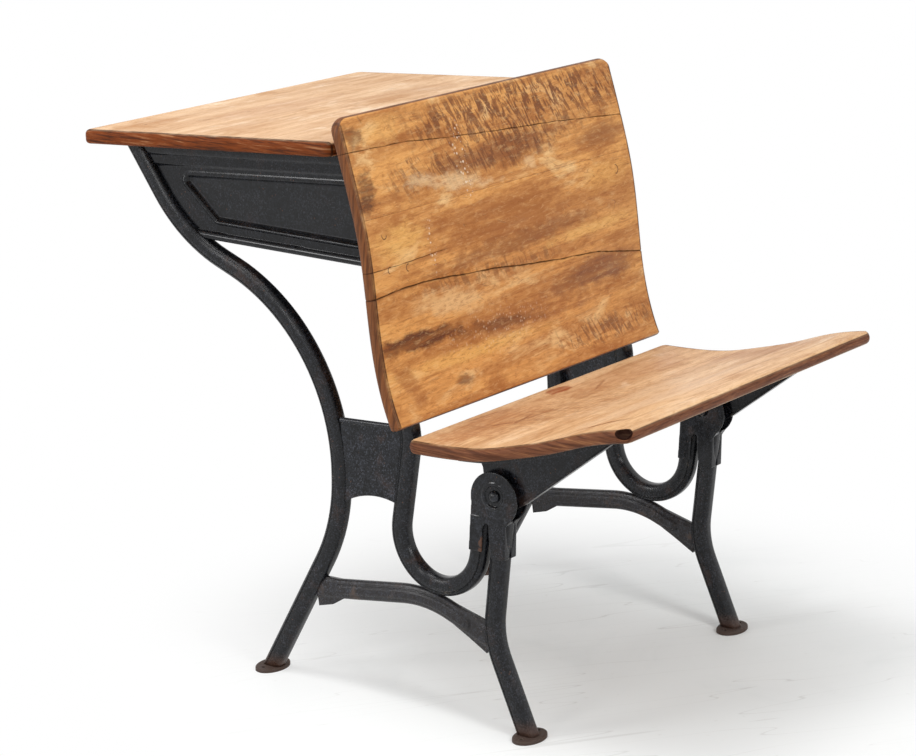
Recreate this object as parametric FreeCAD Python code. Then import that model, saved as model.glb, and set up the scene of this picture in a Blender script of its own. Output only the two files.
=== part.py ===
"""School desk with a lift lid and a folding seat.

Two mirrored standards of pressed steel tube carry a one-piece wooden lid over
a sheet-steel book box, a curved wooden back and a curved wooden seat.  The
seat folds up on the two pivots at the heads of the front legs; the lid lifts
on two butt hinges behind its back edge.

Frame: millimetres, +Z up, +X across the desk, -Y the way the seat faces.
The left standard is drawn about its own centre plane with its outer side
towards -X, measured from the front foot (y = 0, z = 0), and every finished
shape is moved to the desk's origin, on the floor under its middle.
"""
import FreeCAD, Part
import math
import os

V = FreeCAD.Vector

# ------------------------------------------------------------ driving sizes
STANDARD_SPAN = 500.0      # between the centre planes of the two standards
ORIGIN_Y = 267.5           # desk origin, measured back from the front foot

TUBE_W = 25.0              # tube, across its bend plane
TUBE_T = 22.0              # tube, along X
TUBE_R = 8.0               # corner radius of the tube
TUBE_WALL = 1.8
BEAD_DEPTH = 1.0           # groove that sets off the tube's edge bead
SHEET = 1.5                # book box sheet
PLATE = 3.0                # webs, arms and hinge plates

FOOT_X, FOOT_Y, FOOT_H = 58.0, 38.0, 5.0
FOOT_HOLE_R = 2.75
FOOT_HOLE_X = 19.5         # screw holes, each side of the foot's middle

DESK_LEG_FOOT_Y = 424.4    # rear foot, behind the front foot
DESK_LEG_LEAN = 28.0       # degrees off upright at the foot
FRONT_LEG_FOOT_Y = 3.4
FRONT_LEG_LEAN = 24.9
FRONT_LEG_TOP_Z = 287.5

PIVOT_Y, PIVOT_Z = 54.4, 315.0
BOLT_R = 5.0
KNUCKLE_R = 24.0
HEAD_R = 35.5              # round head of each hinge plate
UPRIGHT_END_Z = 278.0      # top of the tube's short leg, beside the front leg

SEAT_WIDTH = 608.0
SEAT_T = 17.0
BACK_WIDTH = 618.0
BACK_T = 16.0
BACK_JOINT_Z = 650.0       # glue joint between the two back boards
SEAT_CORNER_R = 11.0       # corners of the seat, seen from above
BACK_CORNER_R = 15.0       # top corners of the back, seen from the front

LID_WIDTH = 599.0
LID_DEPTH = 419.7
LID_T = 19.0
LID_BACK_Y, LID_BACK_Z = 284.0, 722.9   # lower back corner of the lid
LID_SLOPE = 4.375          # degrees, falling towards the sitter
LID_GAP = 0.1              # play between lid and box when it is shut

BOX_BOTTOM_Z = 578.0
BOX_BACK_Y = 299.5         # outer face of the box's back panel
RIM_H = 24.0               # raised band under the lid
FOOT_BAND_H = 11.5         # raised band along the box's bottom
BAND_OUT = 6.0             # how far both bands stand out
FIELD_IN = 4.0             # depth of the sunk field in each box side

HINGE_X = 175.0            # lid hinges, each side of the middle
HINGE_LEN = 60.0
LEAF_T = 2.5
BARREL_R = 4.0
PIN_R = 1.75

SCREW_R = 2.0
SCREW_HEAD_R = 4.2
FIT = 0.05                 # running and seating clearance

HALF_T = TUBE_T / 2.0
HALF_W = TUBE_W / 2.0
SIDE_X = STANDARD_SPAN / 2.0
SLOPE = math.tan(math.radians(LID_SLOPE))


# ------------------------------------------------------------ small helpers
def lid_under(y):
    """Height of the lid's underside above the floor at depth y."""
    return LID_BACK_Z - SLOPE * (y - LID_BACK_Y)


def wire_of(edges):
    return Part.Wire(Part.__sortEdges__(edges))


def slab(points, x0, x1):
    """Flat plate with a straight-sided outline in the YZ plane, x0 to x1."""
    loop = [V(x0, y, z) for y, z in points]
    face = Part.Face(Part.makePolygon(loop + [loop[0]]))
    return face.extrude(V(x1 - x0, 0, 0))


def box(x0, x1, y0, y1, z0, z1):
    return Part.makeBox(x1 - x0, y1 - y0, z1 - z0, V(x0, y0, z0))


def rod(x0, x1, y, z, r):
    """Round bar along X."""
    return Part.makeCylinder(r, x1 - x0, V(x0, y, z), V(1, 0, 0))


def tidy(shape):
    shape = shape.removeSplitter()
    return shape.Solids[0] if len(shape.Solids) == 1 else shape


def fuse(parts):
    return tidy(parts[0].multiFuse(parts[1:])) if len(parts) > 1 else parts[0]


def mirrored(shape):
    return shape.mirror(V(0, 0, 0), V(1, 0, 0))


# ------------------------------------------------------------ bent tube paths
class Path:
    """A run of straights and bends in the YZ plane.

    Each step is ("line", length) or ("bend", radius, degrees); a positive
    bend turns from +Y towards +Z.
    """

    def __init__(self, y, z, heading, steps):
        self.steps = []
        p, a = V(0, y, z), math.radians(heading)
        for step in steps:
            self.steps.append((step, p, a))
            p, a = self._end(step, p, a)
        self.end, self.end_heading = p, a

    @staticmethod
    def _dirs(a):
        return V(0, math.cos(a), math.sin(a)), V(0, -math.sin(a), math.cos(a))

    def _end(self, step, p, a):
        t, n = self._dirs(a)
        if step[0] == "line":
            return p + t * step[1], a
        side = 1 if step[2] > 0 else -1
        c = p + n * (side * step[1])
        b = a + math.radians(step[2])
        return c - self._dirs(b)[1] * (side * step[1]), b

    def sweep(self, section):
        """Carry a section (list of edges in u, v) along the whole path."""
        runs = []
        for step, p, a in self.steps:
            t, n = self._dirs(a)
            m = FreeCAD.Matrix(n.x, 1, t.x, p.x, n.y, 0, t.y, p.y, n.z, 0, t.z, p.z, 0, 0, 0, 1)
            face = section.copy()
            face.Placement = FreeCAD.Placement(m)
            if step[0] == "line":
                runs.append(face.extrude(t * step[1]))
            else:
                side = 1 if step[2] > 0 else -1
                c = p + n * (side * step[1])
                runs.append(face.revolve(c, V(side, 0, 0), abs(step[2])))
        return fuse(runs)

    def offset(self, d, x=0.0):
        """Edges of the path moved sideways by d (towards its left)."""
        edges = []
        for step, p, a in self.steps:
            t, n = self._dirs(a)
            q = p + n * d + V(x, 0, 0)
            if step[0] == "line":
                edges.append(Part.makeLine(q, q + t * step[1]))
                continue
            side = 1 if step[2] > 0 else -1
            c = p + n * (side * step[1]) + V(x, 0, 0)
            angles = [a + math.radians(step[2]) * k for k in (0.0, 0.5, 1.0)]
            r = step[1] - side * d
            edges.append(Part.Arc(*[c - self._dirs(b)[1] * (side * r) for b in angles]).toShape())
        return edges

    def at(self, s, d=0.0):
        """(y, z) of the point s along the path and d to its left."""
        for step, p, a in self.steps:
            length = step[1] if step[0] == "line" else step[1] * abs(math.radians(step[2]))
            if s <= length + 1e-9 or step is self.steps[-1][0]:
                part = ("line", s) if step[0] == "line" else ("bend", step[1], step[2] * s / length)
                q, b = self._end(part, p, a)
                q = q + self._dirs(b)[1] * d
                return q.y, q.z
            s -= length


def rounded_outline(a, b, r):
    """Rounded rectangle, half sizes a by b, as edges in the section plane."""
    edges = []
    for su, sv in ((1, 1), (-1, 1), (-1, -1), (1, -1)):
        cu, cv = su * (a - r), sv * (b - r)
        k = r * math.sqrt(0.5)
        edges.append(Part.Arc(V(cu + su * r, cv, 0), V(cu + su * k, cv + sv * k, 0), V(cu, cv + sv * r, 0)).toShape())
        if su == sv:
            edges.append(Part.makeLine(V(cu, cv + sv * r, 0), V(-cu, cv + sv * r, 0)))
        else:
            edges.append(Part.makeLine(V(cu + su * r, cv, 0), V(cu + su * r, -cv, 0)))
    return edges


def section_face(outer, bore=None):
    face = Part.Face(wire_of(outer))
    return face.cut(Part.Face(wire_of(bore))).Faces[0] if bore else face


def beaded_outline(bead_side):
    """Tube outline with a small groove on both X faces beside one edge."""
    r, cu, cv = TUBE_R, HALF_W - TUBE_R, HALF_T - TUBE_R
    notch = [math.radians(t) for t in (86.0, 77.5, 69.0)]
    edges = []
    for sv in (1, -1):
        def on(t, rr=r, sv=sv):
            return V(bead_side * (cu + rr * math.cos(t)), sv * (cv + rr * math.sin(t)), 0)
        root = on(notch[1], r - BEAD_DEPTH)
        edges += [
            Part.Arc(on(math.pi / 2), on((math.pi / 2 + notch[0]) / 2), on(notch[0])).toShape(),
            Part.makeLine(on(notch[0]), root),
            Part.makeLine(root, on(notch[2])),
            Part.Arc(on(notch[2]), on(notch[2] / 2), on(0)).toShape(),
            Part.makeLine(on(math.pi / 2), V(-bead_side * cu, sv * HALF_T, 0)),
            Part.Arc(V(-bead_side * cu, sv * HALF_T, 0),
                     V(-bead_side * (cu + r * math.sqrt(0.5)), sv * (cv + r * math.sqrt(0.5)), 0),
                     V(-bead_side * HALF_W, sv * cv, 0)).toShape(),
        ]
    for u in (HALF_W, -HALF_W):
        edges.append(Part.makeLine(V(u, cv, 0), V(u, -cv, 0)))
    return edges


def tube_pair(path, bead_side):
    """(finished hollow tube, the same tube filled, for fitting to it)."""
    bore = rounded_outline(HALF_W - TUBE_WALL, HALF_T - TUBE_WALL, TUBE_R - TUBE_WALL)
    tube = path.sweep(section_face(beaded_outline(bead_side), bore))
    filled = path.sweep(section_face(rounded_outline(HALF_W, HALF_T, TUBE_R)))
    return tube, filled


# ------------------------------------------------------------ paths
DESK_LEG = Path(DESK_LEG_FOOT_Y, 0.0, 90 + DESK_LEG_LEAN, [
    ("line", 194.0), ("bend", 236.0, -29.3), ("line", 9.0),
    ("bend", 273.0, -68.0), ("line", 24.0), ("bend", 222.0, 33.0), ("line", 125.0)])

FRONT_LEG = Path(FRONT_LEG_FOOT_Y, 0.0, 90 - FRONT_LEG_LEAN, [
    ("line", 105.7), ("bend", 118.0, 29.8), ("line", 145.0)])

UPRIGHT_TOP = (275.55, 702.0)
UPRIGHT_LEAN = 19.1        # degrees the upright's top leans back
# down close behind the boards, forward at the knee, then round under itself
BACK_UPRIGHT = Path(UPRIGHT_TOP[0], UPRIGHT_TOP[1], -90 - UPRIGHT_LEAN, [
    ("line", 30.5), ("bend", 415.7, 9.7), ("line", 148.0), ("bend", 204.6, -18.3), ("line", 2.3),
    ("bend", 80.0, 35.2), ("line", 96.2), ("bend", 68.0, -71.0), ("bend", 59.5, -108.5), ("line", 75.0)])

STRETCHER_W = 27.0
STRETCHER_T = 11.0
RIB_W = 13.0
RIB_T = 17.0
STRETCHER = Path(62.0, 120.1, 20.0, [("line", 71.9), ("bend", 154.0, -28.8), ("line", 141.0)])
STRETCHER_LEN = 71.9 + 154.0 * math.radians(28.8) + 141.0

SEAT_TOP = [(156.0, 378.5), (95.0, 381.5), (49.0, 387.5), (10.0, 397.5),
            (-50.0, 415.5), (-100.0, 434.0), (-138.0, 444.5), (-160.0, 448.5)]
BACK_FRONT = [(170.0, 395.0), (190.5, 450.0), (202.5, 506.0), (210.5, 562.0),
              (220.5, 620.0), (241.0, 694.0), (266.0, 770.0)]


# ------------------------------------------------------------ standard
def below_lid(shape, gap):
    """Trim a shape to stay a set gap under the closed lid."""
    big = 2000.0
    cut = slab([(-big, lid_under(-big) - gap), (big, lid_under(big) - gap), (big, big), (-big, big)],
               -big, big)
    return tidy(shape.cut(cut))


def above(shape, z):
    return tidy(shape.cut(box(-500, 500, -500, 1500, -500, z)))


def under(shape, z, y_lo, y_hi):
    return tidy(shape.cut(box(-500, 500, y_lo, y_hi, z, 1500)))


def make_desk_leg():
    return [below_lid(above(s, FOOT_H), 0.6) for s in tube_pair(DESK_LEG, -1)]


def make_front_leg():
    return [under(above(s, FOOT_H), FRONT_LEG_TOP_Z, -100, 200) for s in tube_pair(FRONT_LEG, -1)]


def make_back_upright():
    """The tube behind the back boards that turns under itself to the pivot."""
    return [under(s, UPRIGHT_END_Z, 0, 130) for s in tube_pair(BACK_UPRIGHT, 1)]


def make_stretcher(fitted_to):
    """Pressed cross bar: a flat band with a raised rib, its ends flattened."""
    band = STRETCHER.sweep(section_face(rounded_outline(STRETCHER_W / 2, STRETCHER_T / 2, STRETCHER_T / 2.2)))
    rib_path = Path(*STRETCHER.at(42.0), 20.0, [("line", 29.9), ("bend", 154.0, -28.8), ("line", 100.0)])
    rib = rib_path.sweep(section_face(rounded_outline(RIB_W / 2, RIB_T / 2, 2.5)))
    ends = [Part.makeCylinder(RIB_W / 2, RIB_T - 1.0, V(-(RIB_T - 1.0) / 2, y, z), V(1, 0, 0))
            for y, z in (rib_path.at(0.0), (rib_path.end.y, rib_path.end.z))]
    h, t, n = STRETCHER_W / 2, 3.5, STRETCHER_LEN
    at = STRETCHER.at
    front = slab([at(66, h - 1), at(0, h + 6), at(0, -h - 7), at(34, -h - 2), at(60, -h + 1)], -t, t)
    rear = slab([at(n - 44, h - 1), at(n, h + 4), at(n, -h - 11), at(n - 24, -h - 8), at(n - 44, -h + 1)], -t, t)
    bar = fuse([band, rib, front, rear] + ends)
    bore = rib_path.sweep(section_face(rounded_outline(RIB_W / 2 - 1.6, RIB_T / 2 - 1.6, 1.2)))
    return tidy(bar.cut(bore).cut(fitted_to))


def make_web_plate(fitted_to):
    """Flat web between desk leg and upright, with a rolled top edge."""
    x1 = -HALF_T * 0.4
    x0 = x1 - PLATE
    low_front, low_mid, low_rear = V(x0, 214, 274.5), V(x0, 257, 276.0), V(x0, 297, 259.0)
    top_rear, top_front = V(x0, 302, 370), V(x0, 182, 378)
    loop = [Part.Arc(low_front, low_mid, low_rear).toShape(), Part.makeLine(low_rear, top_rear),
            Part.makeLine(top_rear, top_front), Part.makeLine(top_front, low_front)]
    plate = Part.Face(wire_of(loop)).extrude(V(PLATE, 0, 0))
    roll_r = 3.6
    roll_dir = top_front - top_rear
    roll = Part.makeCylinder(roll_r, roll_dir.Length, V(x0 + PLATE / 2, top_rear.y, top_rear.z), roll_dir)
    return max(tidy(plate.fuse(roll).cut(fitted_to)).Solids, key=lambda s: s.Volume)


def make_foot(y):
    """Oval foot with two floor screw holes."""
    oval = Part.Ellipse(V(0, y, 0), FOOT_X / 2, FOOT_Y / 2).toShape()
    foot = Part.Face(Part.Wire(oval)).extrude(V(0, 0, FOOT_H))
    rim = [e for e in foot.Edges if abs(e.BoundBox.ZMin - FOOT_H) < 1e-6 and abs(e.BoundBox.ZMax - FOOT_H) < 1e-6]
    foot = foot.makeFillet(2.0, rim)
    for sx in (-1, 1):
        foot = foot.cut(Part.makeCylinder(FOOT_HOLE_R, 4 * FOOT_H, V(sx * FOOT_HOLE_X, y, -FOOT_H)))
    return tidy(foot)


# ------------------------------------------------------------ seat hinge
def hinge_outline(grow=0.0):
    """Outline of a hinge plate: round head over two lobes, as a YZ face."""
    g = grow
    leg_y = FRONT_LEG.at(235.0)[0]
    right = [(leg_y - HALF_W - 2.8 - g, 233.0 - g), (leg_y + 6.0 + g, 233.0 - g),
             (leg_y + 9.5 + g, 262.0), (PIVOT_Y + 9.0, 286.0), (PIVOT_Y, 305.0), (21.5 - g, 300.0),
             (leg_y - HALF_W - 2.8 - g, 276.0)]
    left = [(73.0 - g, 238.5 - g), (92.5 + g, 238.0 - g), (90.5 + g, 285.0), (90.0 + g, 305.0),
            (PIVOT_Y, 308.0), (PIVOT_Y + 9.0, 286.0), (71.5 - g, 270.0)]
    head = Part.Face(Part.Wire(Part.Circle(V(0, PIVOT_Y + 1.0, PIVOT_Z - 4.0), V(1, 0, 0), HEAD_R + g).toShape()))
    lobes = [Part.Face(Part.makePolygon([V(0, y, z) for y, z in pts + [pts[0]]])) for pts in (right, left)]
    return head, lobes


def make_hinge_plate(fitted_to, outer):
    """One of the two stampings that clasp the front leg and the tube's end."""
    head, lobes = hinge_outline()
    parts = [f.extrude(V(PLATE, 0, 0)) for f in [head] + lobes]
    plate = fuse(parts)
    plate.translate(V(-HALF_T - PLATE, 0, 0))
    # lip turned in round the front of the leg
    front_y = FRONT_LEG.at(235.0)[0] - HALF_W - 2.8
    lip = slab([(front_y, 233.0), (front_y + 2.4, 233.0), (front_y + 2.4, 276.0), (front_y - 3.6, 285.5),
                (front_y - 6.0, 285.5), (front_y, 276.0)], -HALF_T - PLATE, -2.0)
    ring = rod(-HALF_T - PLATE - 1.6, -HALF_T - PLATE, PIVOT_Y, PIVOT_Z, 13.0)
    ring = ring.cut(rod(-HALF_T - PLATE - 2.0, -HALF_T - PLATE, PIVOT_Y, PIVOT_Z, 9.0))
    plate = fuse([plate, lip, ring]).cut(fitted_to)
    plate = plate.cut(rod(-HALF_T - PLATE - 5, HALF_T, PIVOT_Y, PIVOT_Z, BOLT_R + FIT))
    plate = max(tidy(plate).Solids, key=lambda s: s.Volume)
    return plate if outer else mirrored(plate)


def make_pivot_bolt():
    """Pivot bolt with a domed head on the outside and a plain end inside."""
    x_head = -HALF_T - PLATE
    shank = rod(x_head, HALF_T + PLATE + 7.0, PIVOT_Y, PIVOT_Z, BOLT_R)
    dome = Part.makeSphere(9.0, V(x_head + 4.5, PIVOT_Y, PIVOT_Z))
    dome = dome.common(box(x_head - 20, x_head, PIVOT_Y - 20, PIVOT_Y + 20, PIVOT_Z - 20, PIVOT_Z + 20))
    return tidy(shank.fuse(dome))


def make_pivot_nut():
    x0 = HALF_T + PLATE
    loop = [V(x0, PIVOT_Y + 8.0 * math.cos(math.radians(60 * k)), PIVOT_Z + 8.0 * math.sin(math.radians(60 * k)))
            for k in range(6)]
    nut = Part.Face(Part.makePolygon(loop + [loop[0]])).extrude(V(5.5, 0, 0))
    return tidy(nut.cut(rod(x0 - 1, x0 + 10, PIVOT_Y, PIVOT_Z, BOLT_R)))


# ------------------------------------------------------------ wooden boards
def moved_out(points, d):
    """Points of a profile moved square to it by d (to its left)."""
    curve = Part.BSplineCurve()
    curve.interpolate([V(0, y, z) for y, z in points])
    out = []
    for y, z in points:
        u = curve.parameter(V(0, y, z))
        t = curve.tangent(u)[0]
        out.append((y - t.z * d, z + t.y * d))
    return out


def board(profile, thick, width, edge_r, noses=(0.42, 0.42)):
    """Curved board: profile is its show face, thick lies to its left.

    noses are how far its two long edges bulge, in thicknesses.
    """
    other = moved_out(profile, thick)
    faces = []
    for pts in (profile, other):
        curve = Part.BSplineCurve()
        curve.interpolate([V(-width / 2, y, z) for y, z in pts])
        faces.append(curve.toShape())
    ends = []
    for k, n, nose in ((0, 1, noses[0]), (-1, -2, noses[1])):
        p, q = V(-width / 2, *profile[k]), V(-width / 2, *other[k])
        away = p - V(-width / 2, *profile[n])
        away.normalize()
        ends.append(Part.Arc(p, (p + q) * 0.5 + away * (abs(thick) * nose), q).toShape())
    solid = Part.Face(wire_of(faces + ends)).extrude(V(width, 0, 0))
    caps = [e for e in solid.Edges if e.BoundBox.XLength < 1e-6 and e.Length > 60.0]
    return solid.makeFillet(edge_r, caps)


def corner_cutters(half_x, edge, inward, radius, along):
    """Pair of cutters that round a board's two corners at one of its edges.

    edge is where the board ends on its other axis, inward the sign of the way
    back into the board, and along the axis ("y" or "z") the cutters run on.
    """
    r, near = radius, 0.3
    a, b = half_x - r + near, edge + inward * (r - near)
    cutters = []
    for side in (-1, 1):
        x0, x1 = sorted((side * a, side * (a + 2 * r)))
        v0, v1 = sorted((b, b - inward * 2 * r))
        if along == "y":
            block = box(x0, x1, -500, 900, v0, v1)
            post = Part.makeCylinder(r, 1400, V(side * a, -500, b), V(0, 1, 0))
        else:
            block = box(x0, x1, v0, v1, 0, 900)
            post = Part.makeCylinder(r, 900, V(side * a, b, 0), V(0, 0, 1))
        cutters.append(block.cut(post))
    return cutters


def make_seat_board():
    seats = seat_screws(-SIDE_X) + seat_screws(SIDE_X)
    seat = board(SEAT_TOP, SEAT_T, SEAT_WIDTH, 5.0)
    lo, hi = seat.optimalBoundingBox().YMin, seat.optimalBoundingBox().YMax
    cutters = corner_cutters(SEAT_WIDTH / 2, lo, 1, SEAT_CORNER_R, "z")
    cutters += corner_cutters(SEAT_WIDTH / 2, hi, -1, SEAT_CORNER_R, "z")
    return drilled(tidy(seat.cut(cutters)), seats, SEAT_SCREW_LEN)


def make_back_boards():
    whole = board(BACK_FRONT, -BACK_T, BACK_WIDTH, 5.0, (0.25, 0.42))
    top = whole.optimalBoundingBox().ZMax
    whole = tidy(whole.cut(corner_cutters(BACK_WIDTH / 2, top, -1, BACK_CORNER_R, "y")))
    whole = drilled(whole, clip_screws(-SIDE_X) + clip_screws(SIDE_X), CLIP_SCREW_LEN)
    lean = math.radians(15.0)
    y0, z0 = 229.0, BACK_JOINT_Z
    dy, dz = 400 * math.cos(lean), -400 * math.sin(lean)
    lower = slab([(y0 - dy, z0 - dz), (y0 + dy, z0 + dz), (y0 + dy, -500), (y0 - dy, -500)], -900, 900)
    return tidy(whole.common(lower)), tidy(whole.cut(lower))


# ------------------------------------------------------------ seat arm
def spline(points, x):
    curve = Part.BSplineCurve()
    curve.interpolate([V(x, y, z) for y, z in points])
    return curve


def skin(profile, d0, d1, x0, x1):
    """Solid between two offsets of a board's profile."""
    curves = [spline(moved_out(profile, d), x0).toShape() for d in (d0, d1)]
    ends = [Part.makeLine(curves[0].Vertexes[k].Point, curves[1].Vertexes[k].Point) for k in (0, -1)]
    return Part.Face(wire_of(curves + ends)).extrude(V(x1 - x0, 0, 0))


def surface_at(profile, d, axis, value):
    """(point, normal to the left) where an offset profile crosses a Y or Z."""
    curve = spline(moved_out(profile, d), 0)
    lo, hi = curve.FirstParameter, curve.LastParameter
    rising = getattr(curve.value(hi), axis) > getattr(curve.value(lo), axis)
    for _ in range(60):
        mid = (lo + hi) / 2
        if (getattr(curve.value(mid), axis) < value) == rising:
            lo = mid
        else:
            hi = mid
    t = curve.tangent(lo)[0]
    return curve.value(lo), V(0, -t.z, t.y)


ARM_FRONT_Y, ARM_REAR_Y = -128.0, 118.0
ARM_HALF = 26.0            # half the width of the arm's top flange
ARM_SCREWS_Y = (-62.0, -14.0, 40.0, 90.0)
ARM_SCREW_X = 15.0


def under_seat(y, drop=0.0):
    """Height of the seat board's underside at depth y, less a drop."""
    return surface_at(SEAT_TOP, SEAT_T, "y", y)[0].z - drop


def seat_screws(x_side):
    """(seat, axis) of the wood screws up through one arm's flange."""
    seats = []
    for y in ARM_SCREWS_Y:
        p, down = surface_at(SEAT_TOP, SEAT_T, "y", y)
        for x in (-ARM_SCREW_X, ARM_SCREW_X):
            seats.append((p + down * (PLATE + 0.1) + V(x_side + x, 0, 0), down * -1))
    return seats


def make_seat_arm():
    """Stamped arm: a web with a top flange under the seat and a knuckle."""
    half = ARM_HALF
    plan = [(-half, ARM_FRONT_Y + 55), (-9, ARM_FRONT_Y), (9, ARM_FRONT_Y), (half, ARM_FRONT_Y + 55),
            (half, ARM_REAR_Y - 18), (half - 14, ARM_REAR_Y), (14 - half, ARM_REAR_Y), (-half, ARM_REAR_Y - 18)]
    keep = Part.Face(Part.makePolygon([V(x, y, 0) for x, y in plan + [plan[0]]])).extrude(V(0, 0, 1000))
    inner = keep.makeOffsetShape(-2.0, 0.01, join=2)
    flange = skin(SEAT_TOP, SEAT_T, SEAT_T + PLATE, -half, half).common(keep)
    lip = skin(SEAT_TOP, SEAT_T + PLATE / 2, SEAT_T + PLATE + 4.5, -half, half).common(keep).cut(inner)
    t, k = PLATE / 2, HALF_T - 0.5
    lower = [(ARM_FRONT_Y, under_seat(ARM_FRONT_Y, 1.0)), (13.4, 309.7), (30.0, 300.0)]
    outline = lower + [(PIVOT_Y, PIVOT_Z - 12), (76.0, 322.0), (80.0, 347.0)]
    outline += [(y, under_seat(y, 1.0)) for y in (90.0, 40.0, -10.0, -60.0)]
    web = slab(outline, -t, t)
    # turned edge along the bottom of the web
    edge = slab(lower[:2] + [(lower[1][0] + 1.5, lower[1][1] + 2.5),
                             (lower[0][0] + 4.0, under_seat(lower[0][0] + 4.0, 1.0))], -6.0, 6.0)
    knuckle = rod(-k, k, PIVOT_Y, PIVOT_Z, KNUCKLE_R)
    heel_y = FRONT_LEG.at(300.0)[0] - 11.0
    heel = slab([(heel_y, FRONT_LEG_TOP_Z), (PIVOT_Y - 5.0, FRONT_LEG_TOP_Z), (PIVOT_Y, PIVOT_Z),
                 (PIVOT_Y - 22.0, PIVOT_Z - 4.0)], -k, k)
    arm = fuse([flange, lip, web, edge, knuckle, heel])
    arm = arm.cut(rod(-50, 50, PIVOT_Y, PIVOT_Z, BOLT_R + FIT))
    for seat, axis in seat_screws(0.0):
        arm = arm.cut(pilot(seat, axis, 40.0))
    return tidy(arm)


def wood_screw(seat, axis, length):
    """Round-head screw whose head sits at `seat`, its shank along `axis`."""
    shank = Part.makeCylinder(SCREW_R, length - 3.0, seat, axis)
    point = Part.makeCone(SCREW_R, 0.4, 3.0, seat + axis * (length - 3.0), axis)
    cap = Part.makeSphere(SCREW_HEAD_R * 1.15, seat + axis * (SCREW_HEAD_R * 0.55))
    keep = Part.makeCylinder(SCREW_HEAD_R * 2, SCREW_HEAD_R * 2, seat, axis * -1)
    return tidy(shank.multiFuse([point, cap.common(keep)]))


def pilot(seat, axis, length):
    """Hole a screw's shank fits, from its head's seat."""
    return Part.makeCylinder(SCREW_R + FIT, length + 0.5, seat, axis)


def screw_group(seats, length):
    return Part.makeCompound([wood_screw(p, a, length) for p, a in seats])


def drilled(shape, seats, length):
    return tidy(shape.cut(Part.makeCompound([pilot(p, a, length) for p, a in seats])))


# ------------------------------------------------------------ back fixings
CLIP_Z = (436.0, 682.0)
CLIP_HALF_H = 12.0
CLIP_T = 2.5
CLIP_DEPTH = 14.0          # of the leg that lies along the tube's side
CLIP_HALF_X = 30.0
CLIP_SCREW_X = 22.0
CLIP_SCREW_LEN = 14.0
SEAT_SCREW_LEN = 16.0


def clip_screws(x_side):
    seats = []
    for z in CLIP_Z:
        p, front = surface_at(BACK_FRONT, -BACK_T, "z", z)
        for x in (-CLIP_SCREW_X, CLIP_SCREW_X):
            seats.append((p - front * (CLIP_T + 0.1) + V(x_side + x, 0, 0), front))
    return seats


def make_back_clips():
    """Four angle lugs on the upright's sides that the back boards are screwed to."""
    clips = []
    for z in CLIP_Z:
        keep = box(-100, 100, 0, 600, z - CLIP_HALF_H, z + CLIP_HALF_H)
        for side in (-1, 1):
            x0, x1 = sorted((side * HALF_T, side * CLIP_HALF_X))
            ear = skin(BACK_FRONT, -BACK_T, -BACK_T - CLIP_T, x0, x1)
            x0, x1 = sorted((side * HALF_T, side * (HALF_T + CLIP_T)))
            leg = skin(BACK_FRONT, -BACK_T - CLIP_T / 2, -BACK_T - CLIP_DEPTH, x0, x1)
            clips.append(drilled(tidy(ear.fuse(leg).common(keep)), clip_screws(0.0), 40.0))
    return Part.makeCompound(clips)


# ------------------------------------------------------------ book box
FIELD_DROP = 43.0          # top of the sunk field, under the lid
FIELD_FRONT = (561.0, 541.0, 511.0)
FIELD_BOTTOM_Z = 605.5
PAN_GAP = 0.5              # box front clear of the desk leg


def upright_rear_y(z, out=0.0):
    """Depth of the upright's rear face at height z, plus a margin."""
    if z >= UPRIGHT_TOP[1]:
        lean = math.radians(UPRIGHT_LEAN)
        return UPRIGHT_TOP[0] + (z - UPRIGHT_TOP[1]) * math.tan(lean) + (HALF_W + out) / math.cos(lean)
    lo, hi = 0.0, 350.0
    for _ in range(50):
        mid = (lo + hi) / 2
        lo, hi = (mid, hi) if BACK_UPRIGHT.at(mid, HALF_W + out)[1] > z else (lo, mid)
    return BACK_UPRIGHT.at(lo, HALF_W + out)[0]


def beyond_leg(d, x0, x1):
    """Everything on the sitter's side of a line d inside the desk leg."""
    edges = DESK_LEG.offset(d, x0)
    first, last = edges[0].Vertexes[0].Point, edges[-1].Vertexes[-1].Point
    if (first - edges[1].Vertexes[0].Point).Length < 1e-6:
        first = edges[0].Vertexes[-1].Point
    loop = [last, V(x0, 1500, last.z), V(x0, 1500, first.z), first]
    edges += [Part.makeLine(p, q) for p, q in zip(loop, loop[1:])]
    return Part.Face(wire_of(edges)).extrude(V(x1 - x0, 0, 0))


def lid_band(y0, y1, drop0, drop1, x0, x1):
    """Bar under the lid between two depths below it."""
    return slab([(y0, lid_under(y0) - drop0), (y1, lid_under(y1) - drop0), (y1, lid_under(y1) - drop1),
                 (y0, lid_under(y0) - drop1)], x0, x1)


def field(grow, x0, x1):
    """Prism of the sunk field, its outline grown all round."""
    g = grow
    mid_z = (FIELD_BOTTOM_Z + lid_under(FIELD_FRONT[0]) - FIELD_DROP) / 2 + 2.0
    top = [(y, lid_under(y) - FIELD_DROP + g) for y in (FIELD_FRONT[0] + g * 0.6, 290.0 - g)]
    low = FIELD_BOTTOM_Z - g
    return slab([top[0], (FIELD_FRONT[1] + g, mid_z), (FIELD_FRONT[2] + g * 0.5, low),
                 (upright_rear_y(low, 8.0 - g), low), top[1]], x0, x1)


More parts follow.
